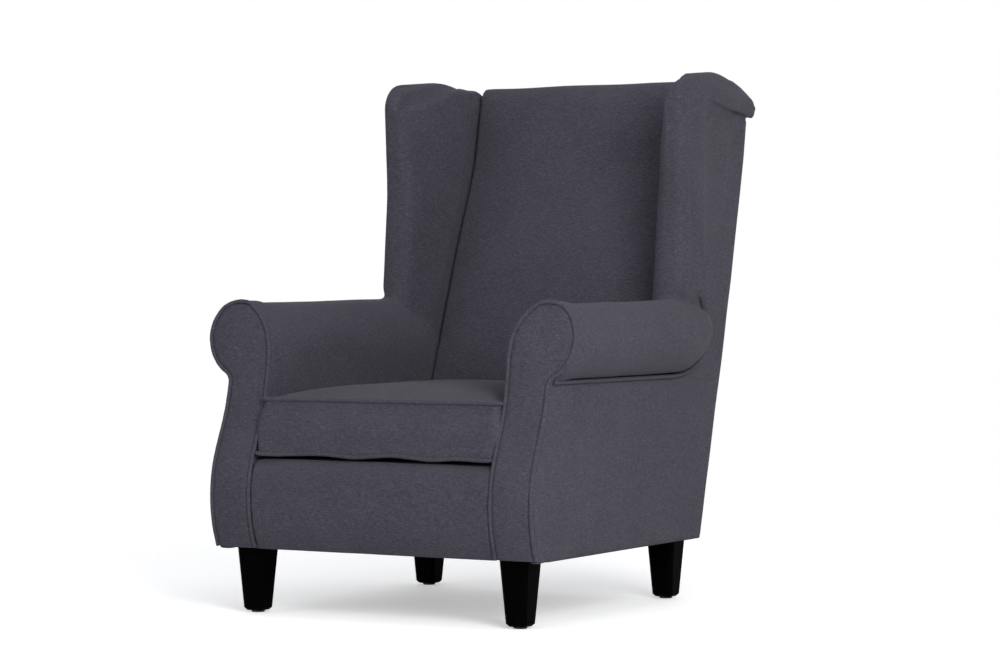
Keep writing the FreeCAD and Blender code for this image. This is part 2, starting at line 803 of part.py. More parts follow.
def ring_section(height):
    """Quarter ring at the rear corner at a height."""
    outer = dims.rear_corner
    inner = dims.rear_corner - dims.panel
    centre = Vector(body_half - outer, rear_at(height) - outer, height)

    def at(radius, turn):
        return centre + Vector(radius * math.cos(turn), radius * math.sin(turn), 0)

    quarter = math.pi / 2
    edges = [
        Part.Arc(at(outer, 0), at(outer, quarter / 2), at(outer, quarter)).toShape(),
        Part.LineSegment(at(outer, quarter), at(inner, quarter)).toShape(),
        Part.Arc(at(inner, quarter), at(inner, quarter / 2), at(inner, 0)).toShape(),
        Part.LineSegment(at(inner, 0), at(outer, 0)).toShape(),
    ]
    return Part.Wire(edges)


def roll_stations():
    """Places along Y and section shares of the scroll's rounded rear end."""
    start = dims.roll_end_place
    return [(start + dims.roll_end * along, share) for along, share in ROLL_END_SHARES]


def roll_axis():
    """Height that the rounded rear end of the scroll shrinks towards."""
    return dims.arm_height - dims.scroll_height * (1 - ROLL_AXIS_SHARE)


neck_height = dims.arm_height - dims.scroll_height


def side_skin():
    """Flat outer panel below the scroll, behind its rear end and over the wing."""
    inset = dims.rear_corner
    rear = rear_line(inset)
    lower = [(place, roll_axis() - (roll_axis() - neck_height) * share) for place, share in roll_stations()]
    seam = dims.wing_seam
    seam_top = tuck_height + dims.wing_tail_drop
    outline = [(-dims.front_reach + dims.face_setback / 2, neck_height)] + lower
    outline += [(lower[-1][0], roll_axis() + dims.panel), (seam, dims.arm_height), (seam, seam_top)]
    outline += rear[::-1]
    outline += [(-dims.front_reach, dims.leg_height), (-dims.front_reach, neck_height)]
    points = [Vector(0, y, z) for y, z in outline]
    face = closed(polyline(points + points[:1]))
    flat = across(face, size(SKIN), body_half)
    corner = loft([ring_section(height) for _, height in rear_line()], True)
    return flat.cut(face_band(-dims.front_reach, dims.facing)).fuse(corner).removeSplitter()


def roll_section(place, share):
    """Bulge of the scroll outside the body at a place along Y, shrunk by a share."""
    side = body_half
    low = dims.seat_width / 2
    width = side + dims.scroll_reach - low
    height = dims.scroll_height

    def at(shares):
        reach = low + width * shares[0] - side
        rise = neck_height + height * shares[1] - roll_axis()
        return Vector(side + reach * share, place, roll_axis() + rise * share)

    top = Vector(side, place, roll_axis() + (dims.arm_height - roll_axis()) * share)
    foot = Vector(side, place, roll_axis() + (neck_height - roll_axis()) * share)
    widest, brow = [at(shares) for shares in FLANK_SHARES]
    return Part.Wire(polyline([foot, top, brow]) + [upright_arc(widest, brow), upright_arc(widest, foot)])


def arm_padding(skin):
    """Inside arm and scroll roll, over the arm board."""
    side = body_half
    inner = dims.seat_width / 2
    width = side + dims.scroll_reach - inner
    start = -dims.front_reach

    def at(shares):
        return Vector(inner + width * shares[0], start, neck_height + dims.scroll_height * shares[1])

    shoulder = [at(shares) for shares in SHOULDER_SHARES]
    crest = Vector(side, start, dims.arm_height)
    hollow = inner + dims.arm_pad
    ledge = neck_height + dims.arm_pad
    corners = [
        shoulder[1],
        at(CREST_SHARES),
        crest,
        Vector(side, start, neck_height),
        Vector(size(SKIN), start, neck_height),
        Vector(size(SKIN), start, ledge),
        Vector(hollow, start, ledge),
        Vector(hollow, start, size(DECK_FOOT)),
        Vector(inner, start, size(DECK_FOOT)),
        shoulder[0],
    ]
    face = closed([upright_arc(*shoulder)] + polyline(corners))
    prism = face.extrude(Vector(0, dims.front_reach + dims.rear_base + dims.back_rake, 0))
    behind = face_band(dims.facing, dims.front_reach + dims.rear_base + dims.back_rake)
    full = roll_section(start, 1)
    bulge = Part.Face(full).extrude(Vector(0, dims.front_reach + dims.roll_end_place, 0))
    tail = loft([roll_section(place, share) for place, share in roll_stations()], True)
    inside = prism.common(before_posts())
    return inside.fuse([bulge, tail]).common(behind).cut(skin).removeSplitter()


def back_station(shares, bow=0):
    """Point (y, z) of the inside back's front, moved forwards by its crown."""
    y = dims.back_foot + dims.back_depth * shares[0]
    crown = shares[2] * bow * dims.back_crown
    return y - crown, size(DECK_TOP) + back_height * shares[1]


def back_face_at(height):
    """Front of the inside back at its sides, at a height."""
    stations = [back_station(shares) for shares in BACK_SHARES]
    for (start, low), (end, high) in zip(stations, stations[1:]):
        if height <= high:
            break
    return between(start, end, (height - low) / (high - low))


def back_section(bow):
    """Section of the inside back and its top roll, at a share of the crown."""
    front = [back_station(shares, bow) for shares in BACK_SHARES]
    back_top = size(DECK_TOP) + back_height
    top = [
        (dims.back_foot + dims.back_depth * along, between(back_top, tuck_height, drop))
        for along, drop in BACK_TOP_SHARES
    ]
    tuck = (rear_at(tuck_height), tuck_height)
    face = size(SLAT_FRONT) - dims.web
    lower = dims.lower_slat_place - dims.web
    rail_top = size(lower_foot) + dims.lower_slat_height
    radii = (0, dims.back_foot, dims.back_depth, dims.back_depth, dims.crest_round)
    corners = [(y, z, radius) for (y, z), radius in zip(front, radii)]
    radii = (dims.brow_round, dims.brow_round, dims.tip_round)
    corners += [(y, z, radius) for (y, z), radius in zip(top, radii)]
    corners += [(*tuck, 0), (face, tuck_height, 0), (face, tuck_height - dims.slat_height, 0)]
    corners += [(lower, rail_top, 0), (lower, size(DECK_TOP), 0)]
    return rounded_face(corners).OuterWire


def inside_back():
    """Crowned inside back between the wings, over the top and down to its tuck."""
    half = dims.seat_width / 2
    count = len(BACK_BOW_SHARES)
    wires = []
    for index, bow in enumerate(BACK_BOW_SHARES):
        wire = back_section(bow)
        wire.translate(Vector(between(-half, half, index / (count - 1)), 0, 0))
        wires.append(wire)
    return loft(wires, True)


def wing_side(swell, lift=0):
    """Face of the wing from the side, swollen round its middle line, its top raised by lift."""
    start = dims.wing_front + dims.wing_roll
    depth = dims.back_foot + dims.back_depth - dims.wing_roll - start
    height = dims.top_height - dims.wing_roll - dims.arm_height
    corners = []
    for along, rise, out, up, bend, curl in WING_SHARES:
        raised = lift if rise > WING_HALFWAY_SHARE and out >= 0 else 0
        corners.append((
            start + depth * along + swell * out,
            dims.arm_height + height * rise + swell * up + raised,
            dims.top_height * bend + swell * curl,
        ))
    inset = dims.panel + dims.post_depth
    rear = [(y, z, 0) for y, z in rear_line(inset, foot=corners[0][1])]
    return rounded_face(corners + [(rear_at(tuck_height), tuck_height, 0)] + rear[::-1])


def wing_plan(height):
    """Plan of the wing at a height: thin at its front, thick where it meets the back."""
    side = body_half
    slim = side - dims.wing_roll * 2 - dims.clearance
    inner = dims.seat_width / 2
    ahead = dims.wing_front - dims.wing_roll
    behind = dims.rear_base + dims.back_rake + dims.wing_roll
    seam = back_face_at(height)
    corners = (
        (side, ahead), (side, behind), (inner, behind),
        (inner, seam), (slim, dims.wing_post_place), (slim, ahead),
    )
    points = [Vector(x, y, height) for x, y in corners]
    return Part.makePolygon(points + points[:1])


def wing_padding():
    """Padded wing: the roll along its front and top edge, and its filling."""
    axis = body_half - dims.wing_roll
    wires = []
    for index in range(WING_SLICES + 1):
        turn = math.pi * index / WING_SLICES
        wire = wing_side(dims.wing_roll * math.sin(turn)).OuterWire
        wire.translate(Vector(axis - dims.wing_roll * math.cos(turn), 0, 0))
        wires.append(wire)
    rolled = loft(wires, True)
    foot = dims.arm_height - dims.scroll_height
    middle = between(foot, dims.top_height, WING_HALFWAY_SHARE)
    plan = loft([wing_plan(height) for height in (foot, middle, dims.top_height)], True)
    filling = across(wing_side(0, dims.wing_roll - dims.wing_ledge), dims.seat_width / 2, axis).common(plan)
    return rolled.fuse(filling)


# Piping round the arm's end and under its roll


def face_at(height):
    """Front profile's Y at a height."""
    curve = profile(face_points()).Curve
    low, high = curve.FirstParameter, curve.LastParameter
    while high - low > FINE_SHARE:
        middle = (low + high) / 2
        if curve.value(middle).z < height:
            low = middle
        else:
            high = middle
    return curve.value(low).y


def piping_path():
    """Points of the piping, up the seat side of the arm's end, round its scroll and down."""
    face = keyhole(dims.welt_inset, dims.leg_height, 1)
    arcs = [edge for edge in face.Edges if edge.Curve.TypeId == "Part::GeomCircle"]
    inner = dims.seat_width / 2 + dims.welt_inset
    outer = body_half - dims.welt_inset
    start = min(vertex.Z for arc in arcs for vertex in arc.Vertexes if vertex.X < inner + dims.welt)
    flat = [(inner, between(dims.leg_height, start, share)) for share in PIPING_SHARES]
    scroll = []
    for arc in arcs:
        scroll += [(point.x, point.z) for point in arc.discretize(PIPING_STEPS)]
    ordered = []
    place = flat[-1]
    while scroll:
        nearest = min(scroll, key=lambda point: math.dist(point, place))
        scroll.remove(nearest)
        if math.dist(nearest, place) > dims.welt:
            ordered.append(nearest)
            place = nearest
    down = [(outer, between(dims.leg_height, neck_height, share)) for share in PIPING_SHARES[::-1]]
    points = flat + ordered + down
    return [Vector(x, face_at(z) + dims.welt_inset / 2, z) for x, z in points]


def under_roll_path():
    """Points of the piping in the crease under the scroll, up round its rear end."""
    across_place = body_half + dims.welt + dims.clearance
    front = face_at(neck_height) + dims.facing + dims.clearance
    places = [(front, 1)] + roll_stations()[:-1]
    return [
        Vector(across_place, place, roll_axis() - (roll_axis() - neck_height) * share - dims.welt)
        for place, share in places
    ]


piping = tube(piping_path(), dims.welt)
under_piping = tube(under_roll_path(), dims.welt)

for side, sign in (("left", -1), ("right", 1)):
    skin = side_skin()
    padding = arm_padding(skin)
    framing = (arm_boards[side], side_boards[side], *wing_timbers[side])
    timbers = [mirrored(piece.Shape, sign) for piece in framing]
    arm_pad = padding.cut(timbers[:3] + [low_slat.Shape, under_piping])
    wing_pad = wing_padding().cut([skin, padding] + timbers[1:])
    nodes.append(feature("side_panel_" + side, mirrored(skin, sign)))
    nodes.append(feature("arm_pad_" + side, mirrored(arm_pad, sign)))
    nodes.append(feature("wing_pad_" + side, mirrored(wing_pad, sign)))

nodes.append(feature("inside_back", inside_back()))


# Facings of the arms' ends

facing_band = face_band(0, dims.facing)
for side, sign in (("left", -1), ("right", 1)):
    facing = keyhole_block(0, dims.leg_height, sign).common(facing_band)
    facing = facing.cut([mirrored(piping, sign), seat_front_rail.Shape])
    nodes.append(feature("arm_facing_" + side, facing))
    nodes.append(feature("arm_facing_welt_" + side, mirrored(piping, sign)))
    nodes.append(feature("under_roll_welt_" + side, mirrored(under_piping, sign)))

# Front apron between the arm facings

apron_foot = dims.leg_height
apron_top = size(DECK_TOP)
rail_front = size(RAIL_FRONT)
apron_front = [
    Vector(0, rail_front - dims.apron_bulge * bulge, between(apron_foot, apron_top, rise))
    for rise, bulge in APRON_SHARES
]
lip = rail_front + dims.apron_lip
apron_back = [
    apron_front[-1],
    Vector(0, lip, apron_top),
    Vector(0, lip, size(RAIL_TOP)),
    Vector(0, rail_front, size(RAIL_TOP)),
    Vector(0, rail_front, apron_foot),
    apron_front[0],
]
apron_face = closed([profile(apron_front)] + polyline(apron_back))
apron = across(apron_face, -size(INNER), size(INNER))
nodes.append(feature("front_apron", apron.cut([piping, mirrored(piping, -1)])))

# Outside back panel and the webbing behind the inside back

panel_line = [Vector(0, y, z) for y, z in rear_line() + rear_line(dims.panel)[::-1]]
panel_face = closed(polyline(panel_line + panel_line[:1]))
panel_half = body_half - dims.rear_corner
nodes.append(feature("outside_back", across(panel_face, -panel_half, panel_half)))
strap_line = [
    (size(SLAT_FRONT), tuck_height - dims.web),
    (size(SLAT_FRONT), tuck_height - dims.slat_height),
    (dims.lower_slat_place, size(lower_foot) + dims.lower_slat_height),
    (dims.lower_slat_place, size(lower_foot)),
]
strap_line += [(y - dims.web, z) for y, z in strap_line[::-1]]
strap_points = [Vector(0, y, z) for y, z in strap_line]
strap_face = closed(polyline(strap_points + strap_points[:1]))
straps = []
web_count = int(dims.web_count)
for turn in range(web_count):
    middle = between(-dims.web_span / 2, dims.web_span / 2, turn / (web_count - 1))
    straps.append(across(strap_face, middle - dims.web_width / 2, middle + dims.web_width / 2))
nodes.append(feature("back_webbing", Part.makeCompound(straps)))

# Loose seat cushion: foam, cover panels, piping, zip and slider

seam_low = size(DECK_TOP) + dims.clearance + dims.cushion_underside
seam_high = seam_low + dims.cushion_boxing


def cushion_wire(height, inset, level=None):
    """Plan of the cushion at a height, its sides drawn in, moved inwards by inset."""
    level = height if level is None else level
    half = dims.seat_width / 2 - dims.cushion_gap - inset
    lean = dims.cushion_lean * (height - seam_low) / dims.cushion_boxing
    front = -dims.front_reach + dims.cushion_front + lean + inset
    rear = back_face_at(height) - dims.cushion_rear_gap - inset
    middle = (front + rear) / 2
    draw_front, draw_side = [dims.cushion_draw * share for share in DRAW_SHARES]
    points = [
        Vector(-half, front, level),
        Vector(0, front + draw_front, level),
        Vector(half, front, level),
        Vector(half - draw_side, middle, level),
        Vector(half, rear, level),
        Vector(-half, rear, level),
        Vector(-half + draw_side, middle, level),
    ]
    corner = dims.cushion_corner
    draw = half * DRAW_REACH_SHARE
    trims = [corner, draw, corner, draw, corner, corner, draw]
    return Part.Wire(softened(points, trims, True))


def cushion_cap(seam, rise, inset):
    """Crowned cap from a seam towards the middle of the cushion's top or underside."""
    reach = dims.seat_width / 2 * CROWN_INSET_SHARE
    wires = [
        cushion_wire(seam, dims.welt + inset + reach * along, seam + rise * up)
        for along, up in CROWN_STEP_SHARES
    ]
    return loft(wires, True)


def cushion_boxing(inset):
    """Upright band between the cushion's two seams, fullest at half its height."""
    middle = between(seam_low, seam_high, 0.5)
    wires = [
        cushion_wire(seam_low, dims.welt + inset),
        cushion_wire(middle, inset),
        cushion_wire(seam_high, dims.welt + inset),
    ]
    return loft(wires, True)


def cushion_welt(height):
    """Piping round a seam of the cushion."""
    path = cushion_wire(height, dims.welt)
    first = path.OrderedEdges[0]
    section = Part.Wire(Part.Circle(first.valueAt(0), first.tangentAt(0), dims.welt).toShape())
    return path.makePipeShell([section], True, False)


cloth = dims.cushion_cloth
foam = cushion_boxing(cloth).fuse([
    cushion_cap(seam_high, dims.cushion_crown - cloth, cloth),
    cushion_cap(seam_low, -(dims.cushion_underside - cloth), cloth),
])
welt_high = cushion_welt(seam_high)
welt_low = cushion_welt(seam_low)
zip_half = dims.seat_width / 2 - dims.zip_margin
zip_length = 2 * zip_half
zip_middle = between(seam_low, seam_high, 0.5)
zip_box = Part.makeBox(
    zip_length, body_width, dims.zip_height,
    Vector(-zip_half, 0, zip_middle - dims.zip_height / 2),
)
band = cushion_boxing(0).cut([foam, welt_high, welt_low])
foam = foam.cut([welt_high, welt_low])
top_panel = cushion_cap(seam_high, dims.cushion_crown, 0).cut([foam, welt_high])
bottom_panel = cushion_cap(seam_low, -dims.cushion_underside, 0).cut([foam, welt_low])
nodes.append(feature("cushion_foam", foam))
nodes.append(feature("cushion_top_panel", top_panel))
nodes.append(feature("cushion_bottom_panel", bottom_panel))
nodes.append(feature("cushion_boxing", band.cut(zip_box)))
nodes.append(feature("cushion_zip", band.common(zip_box)))
nodes.append(feature("cushion_top_welt", welt_high))
nodes.append(feature("cushion_bottom_welt", welt_low))
slider_top = zip_middle + dims.slider_height / 2
slider_rear = back_face_at(slider_top) - dims.cushion_rear_gap + dims.clearance
slider_start = zip_half - dims.slider_length
slider_plate = Part.makeBox(
    dims.slider_length, dims.slider_depth / 2, dims.slider_height,
    Vector(slider_start, slider_rear, zip_middle - dims.slider_height / 2),
)
bridge_rear = slider_rear + dims.slider_depth / 2
slider_bridge = Part.makeBox(
    dims.slider_length / 2, dims.slider_depth / 2, dims.slider_height / 3,
    Vector(slider_start + dims.slider_length / 4, bridge_rear, zip_middle - dims.slider_height / 3),
)
pull_start = slider_start + dims.slider_length / 2 - dims.pull_width / 2
slider_pull = Part.makeBox(
    dims.pull_width, dims.slider_depth / 4, dims.pull_length,
    Vector(pull_start, bridge_rear, zip_middle - dims.pull_length),
)
nodes.append(feature("cushion_zip_slider", slider_plate.fuse([slider_bridge, slider_pull]).removeSplitter()))

# Test every object, then write one file for each sub-part

doc.recompute()
faults = [piece.Label for piece in doc.Objects if {"Invalid", "Error"} & set(piece.State)]
faults += [piece.Label for piece in nodes if piece.Shape.isNull() or not piece.Shape.isValid()]
names = [piece.Label for piece in nodes]
faults += [name for name in names if names.count(name) > 1]
if faults:
    raise SystemExit("Faulty sub-parts: " + ", ".join(sorted(set(faults))))
for piece in nodes:
    piece.Shape.exportStep("parts/%s.step" % piece.Label)
print(len(nodes), "sub-parts written")
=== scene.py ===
"""Looks of a wing chair with scroll arms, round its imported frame: cloth, piping, legs, studio."""

import logging
import math
from dataclasses import dataclass
from enum import Enum
from typing import Any, Callable, Iterable, Optional, Sequence, Union

import bmesh
import bpy
from mathutils import Matrix, Vector, noise
from mathutils.bvhtree import BVHTree


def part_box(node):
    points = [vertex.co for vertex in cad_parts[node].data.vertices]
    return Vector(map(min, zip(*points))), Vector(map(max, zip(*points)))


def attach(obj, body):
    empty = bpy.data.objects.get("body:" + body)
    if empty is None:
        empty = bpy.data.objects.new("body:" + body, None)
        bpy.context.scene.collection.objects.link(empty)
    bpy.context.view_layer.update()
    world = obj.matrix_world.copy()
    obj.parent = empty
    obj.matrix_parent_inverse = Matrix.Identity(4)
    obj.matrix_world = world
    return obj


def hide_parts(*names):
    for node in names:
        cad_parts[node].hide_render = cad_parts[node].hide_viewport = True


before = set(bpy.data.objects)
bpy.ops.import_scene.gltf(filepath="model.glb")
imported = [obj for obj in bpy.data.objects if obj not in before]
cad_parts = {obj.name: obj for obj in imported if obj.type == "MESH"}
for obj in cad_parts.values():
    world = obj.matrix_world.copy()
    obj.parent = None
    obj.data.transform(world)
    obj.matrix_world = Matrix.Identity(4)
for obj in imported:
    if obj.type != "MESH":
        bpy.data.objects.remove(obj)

log = logging.getLogger("wing_chair")

MM = 0.001
HAIR = 0.01 * MM
SIDES = (("left", -1), ("right", 1))
Colour = tuple[float, float, float]
Socket = bpy.types.NodeSocket
BMesh = bmesh.types.BMesh
Test = Callable[[Vector], bool]
Step = Callable[[Vector, Vector], Vector]


class Body(Enum):
    """The bodies that pieces ride on."""

    CHAIR = "chair"
    CUSHION = "cushion"
    SLIDER = "zip_slider"


def operator(operation: str, reflected: bool = False) -> Callable[["Signal", "Value"], "Signal"]:
    """Method of a signal that adds one Math node.

    Args:
        operation: the node's operation.
        reflected: true where the signal stands on the operator's right.

    Returns:
        The method.
    """

    def joined(signal: "Signal", other: "Value") -> "Signal":
        """Both values through the node."""
        first, second = (other, signal) if reflected else (signal, other)
        return signal.graph.math(operation, first, second)

    return joined


class Signal:
    """A value that flows through a material, on which Python's operators add Math nodes."""

    __add__ = operator("ADD")
    __radd__ = operator("ADD", reflected=True)
    __sub__ = operator("SUBTRACT")
    __rsub__ = operator("SUBTRACT", reflected=True)
    __mul__ = operator("MULTIPLY")
    __rmul__ = operator("MULTIPLY", reflected=True)
    __truediv__ = operator("DIVIDE")
    __pow__ = operator("POWER")

    def __init__(self, graph: "Graph", socket: Socket) -> None:
        """Wrap an output socket of a graph."""
        self.graph = graph
        self.socket = socket

    def __abs__(self) -> "Signal":
        """Size without its sign."""
        return self.graph.math("ABSOLUTE", self)

    def sine(self) -> "Signal":
        """Sine of the value in radians."""
        return self.graph.math("SINE", self)

    def limited(self) -> "Signal":
        """The value held between 0 and 1."""
        return self.graph.math("ADD", self, 0.0, clamp=True)

    def ramp(self, low: float, high: float) -> "Signal":
        """The value stretched so that low gives 0 and high gives 1, held between them."""
        return ((self - low) / (high - low)).limited()


Value = Union[Signal, float]
Looks = tuple[Socket, Signal, Socket]


class Graph:
    """The node tree of one material, or of the world.

    The Mix node has sockets for each kind of value: those for colours are named here by place.
    """

    mix_factor, mix_low, mix_high, mix_result = 0, 6, 7, 2

    def __init__(self, name: str, world: bool = False) -> None:
        """Make an empty material or world of that name."""
        self.holder = bpy.data.worlds.new(name) if world else bpy.data.materials.new(name)
        self.holder.use_nodes = True
        self.tree = self.holder.node_tree
        self.tree.nodes.clear()

    def node(
        self, kind: str, settings: Optional[dict] = None, inputs: Optional[dict] = None
    ) -> bpy.types.Node:
        """Add a node.

        Args:
            kind: the node's type.
            settings: its own settings, set before its sockets.
            inputs: values, signals or sockets for its inputs, by name or place.

        Returns:
            The new node.
        """
        made = self.tree.nodes.new(kind)
        for key, value in (settings or {}).items():
            setattr(made, key, value)
        for key, value in (inputs or {}).items():
            if isinstance(value, Signal):
                self.tree.links.new(value.socket, made.inputs[key])
            elif isinstance(value, Socket):
                self.tree.links.new(value, made.inputs[key])
            else:
                made.inputs[key].default_value = value
        return made

    def math(
        self, operation: str, first: Value, second: Value = 0.0, clamp: bool = False
    ) -> Signal:
        """One Math node on two values."""
        settings = {"operation": operation, "use_clamp": clamp}
        return Signal(self, self.node("ShaderNodeMath", settings, {0: first, 1: second}).outputs[0])

    def place(self, turn: float = 0.0) -> Socket:
        """Position on the piece in metres, turned about all three axes for a bias cut."""
        where = self.node("ShaderNodeTexCoord").outputs["Object"]
        if not turn:
            return where
        turned = {"Vector": where, "Rotation": (turn, turn, turn)}
        return self.node("ShaderNodeMapping", None, turned).outputs[0]

    def parts(self, vector: Socket) -> list[Signal]:
        """The three parts of a vector."""
        split = self.node("ShaderNodeSeparateXYZ", None, {0: vector})
        return [Signal(self, output) for output in split.outputs]

    def grain(
        self, place: Socket, scale: Union[float, Sequence[float]], detail: float = 2.0
    ) -> Signal:
        """Smooth noise.

        Args:
            place: the position that it follows.
            scale: how many features a metre holds, along X, Y and Z where they differ.
            detail: how many finer layers it has.

        Returns:
            The noise, mostly between 0.3 and 0.7.
        """
        factors = {0: place, 1: (scale, scale, scale) if isinstance(scale, float) else scale}
        scaled = self.node("ShaderNodeVectorMath", {"operation": "MULTIPLY"}, factors)
        texture = {"Vector": scaled.outputs[0], "Scale": 1.0, "Detail": detail}
        return Signal(self, self.node("ShaderNodeTexNoise", None, texture).outputs[0])

    def blend(self, factor: Value, low: Any, high: Any) -> Socket:
        """Colour between low and high."""
        start, end = ((*end, 1.0) if isinstance(end, tuple) else end for end in (low, high))
        colours = {self.mix_factor: factor, self.mix_low: start, self.mix_high: end}
        mix = self.node("ShaderNodeMix", {"data_type": "RGBA"}, colours)
        return mix.outputs[self.mix_result]

    def relief(self, height: Signal, depth: float) -> Socket:
        """Normal of a surface whose height moves by depth metres."""
        raised = {"Height": height, "Distance": depth, "Strength": 1.0}
        return self.node("ShaderNodeBump", None, raised).outputs[0]

    def surface(self, varying: dict, steady: dict) -> bpy.types.Material:
        """Close the material.

        Args:
            varying: what changes over the surface, by the shader's socket.
            steady: numbers and colours that are the same all over.

        Returns:
            The finished material.
        """
        shader = self.node("ShaderNodeBsdfPrincipled", None, {**steady, **varying})
        self.node("ShaderNodeOutputMaterial", None, {"Surface": shader.outputs[0]})
        return self.holder


@dataclass(frozen=True, kw_only=True)
class Finish:
    """A material worked out from a few colours and lengths.

    The grains are features in a metre, along X, Y and Z where they differ. A range is where a
    mask goes from none to all.
    """

    name: str
    turn: float = 0.0
    rough: float = 0.5
    rough_swing: float = 0.2
    gloss: float = 0.25
    depth: float = 0.2 * MM

    def make(self) -> bpy.types.Material:
        """Build the material.

        Returns:
            The finished material.
        """
        graph = Graph(self.name)
        colour, rough, relief = self.looks(graph, graph.place(self.turn))
        varying = {"Base Color": colour, "Roughness": rough, "Normal": relief}
        return graph.surface(varying, self.steady())

    def looks(self, graph: Graph, place: Socket) -> Looks:
        """Colour, roughness and relief, which each finish works out in its own way."""
        raise NotImplementedError

    def steady(self) -> dict[str, float]:
        """The shader's numbers that are the same all over."""
        return {"Specular IOR Level": self.gloss}


@dataclass(frozen=True, kw_only=True)
class WovenCloth(Finish):
    """Charcoal melange upholstery cloth in a plain weave, with slubs along both threads.

    A thread's grain is its features in a metre along the yarn and across it.
    """

    dark: Colour = (0.0345, 0.0325, 0.0425)
    light: Colour = (0.069, 0.0655, 0.0845)
    fleck: Colour = (0.115, 0.11, 0.137)
    shade: Colour = (0.028, 0.0265, 0.036)
    rough: float = 0.86
    rough_swing: float = 0.1
    gloss: float = 0.06
    sheen: float = 0.05
    sheen_rough: float = 0.45
    depth: float = 0.22 * MM
    pitch: float = 1.25 * MM
    wobble: float = 1.6
    wobble_grain: float = 260.0
    corner_power: float = 3.0
    yarn_grain: tuple[float, float] = (120.0, 640.0)
    weft_share: float = 0.55
    warp_share: float = 0.45
    weave_share: float = 0.03
    cloud_share: float = 0.16
    cloud_grain: float = 9.0
    yarn_range: tuple[float, float] = (0.32, 0.68)
    slub_grain: tuple[float, float] = (80.0, 430.0)
    slub_range: tuple[float, float] = (0.66, 0.8)
    thin_range: tuple[float, float] = (0.68, 0.8)
    slub_strength: float = 0.6
    weave_height: float = 0.5
    yarn_height: float = 0.35
    slub_height: float = 0.5

    def looks(self, graph: Graph, place: Socket) -> Looks:
        """Weave, slubs and flecks, laid along each face whichever way it points."""
        bent = (graph.grain(place, self.wobble_grain) - 0.5) * (self.pitch * self.wobble)
        turns = math.tau / self.pitch
        waves = [((part + bent) * turns).sine() for part in graph.parts(place)]
        normal = graph.node("ShaderNodeNewGeometry").outputs["Normal"]
        weights = [abs(part) ** self.corner_power for part in graph.parts(normal)]
        total = weights[0] + weights[1] + weights[2]
        pairs = (waves[1] * waves[2], waves[0] * waves[2], waves[0] * waves[1])
        blended = weights[0] * pairs[0] + weights[1] * pairs[1] + weights[2] * pairs[2]
        weave = blended / total
        level = weights[2] / total
        weft = self.thread(graph, place, level, *self.yarn_grain)
        warp = self.thread(graph, place, level, *reversed(self.yarn_grain))
        cloud = (graph.grain(place, self.cloud_grain, detail=3.0) - 0.5) * self.cloud_share
        yarns = weft * self.weft_share + warp * self.warp_share + weave * self.weave_share
        yarn = (yarns + cloud).ramp(*self.yarn_range)
        uneven = self.thread(graph, place, level, *self.slub_grain)
        slub = uneven.ramp(*self.slub_range) * self.slub_strength
        thin = (1 - uneven).ramp(*self.thin_range) * self.slub_strength
        melange = graph.blend(thin, graph.blend(yarn, self.dark, self.light), self.shade)
        colour = graph.blend(slub, melange, self.fleck)
        height = weave * self.weave_height + yarn * self.yarn_height + slub * self.slub_height
        rough = self.rough + yarn * self.rough_swing
        return colour, rough, graph.relief(height, self.depth)

    @staticmethod
    def thread(graph: Graph, place: Socket, level: Signal, along: float, across: float) -> Signal:
        """Unevenness along one set of threads, whichever way the face looks.

        Args:
            graph: the material's nodes.
            place: the position on the piece.
            level: how nearly the face looks straight up or down, from 0 to 1.
            along: features in a metre along the yarn.
            across: the same across it.

        Returns:
            Smooth noise.
        """
        standing = graph.grain(place, (along, along, across), detail=1.0)
        lying = graph.grain(place, (along, across, along), detail=1.0)
        return standing + (lying - standing) * level

    def steady(self) -> dict[str, float]:
        """The shader's numbers that are the same all over, with a faint sheen."""
        sheen = {"Sheen Weight": self.sheen, "Sheen Roughness": self.sheen_rough}
        return {"Specular IOR Level": self.gloss, **sheen}


@dataclass(frozen=True, kw_only=True)
class Lacquer(Finish):
    """Black satin lacquer on turned or sawn hardwood, with the grain just felt through it."""

    name: str = "black_lacquer"
    colour: Colour = (0.0003, 0.0003, 0.0004)
    worn: Colour = (0.0012, 0.0011, 0.0013)
    rough: float = 0.36
    rough_swing: float = 0.16
    grain_swing: float = 0.06
    gloss: float = 0.01
    depth: float = 0.12 * MM
    pores: tuple[float, float, float] = (420.0, 420.0, 22.0)
    dust: float = 60.0
    worn_range: tuple[float, float] = (0.35, 0.75)

    def looks(self, graph: Graph, place: Socket) -> Looks:
        """Black with pores that shine a little less."""
        grain = graph.grain(place, self.pores, detail=4.0)
        dust = graph.grain(place, self.dust, detail=3.0)
        colour = graph.blend(grain.ramp(*self.worn_range), self.colour, self.worn)
        rough = self.rough + dust * self.rough_swing + grain * self.grain_swing
        return colour, rough, graph.relief(grain, self.depth)


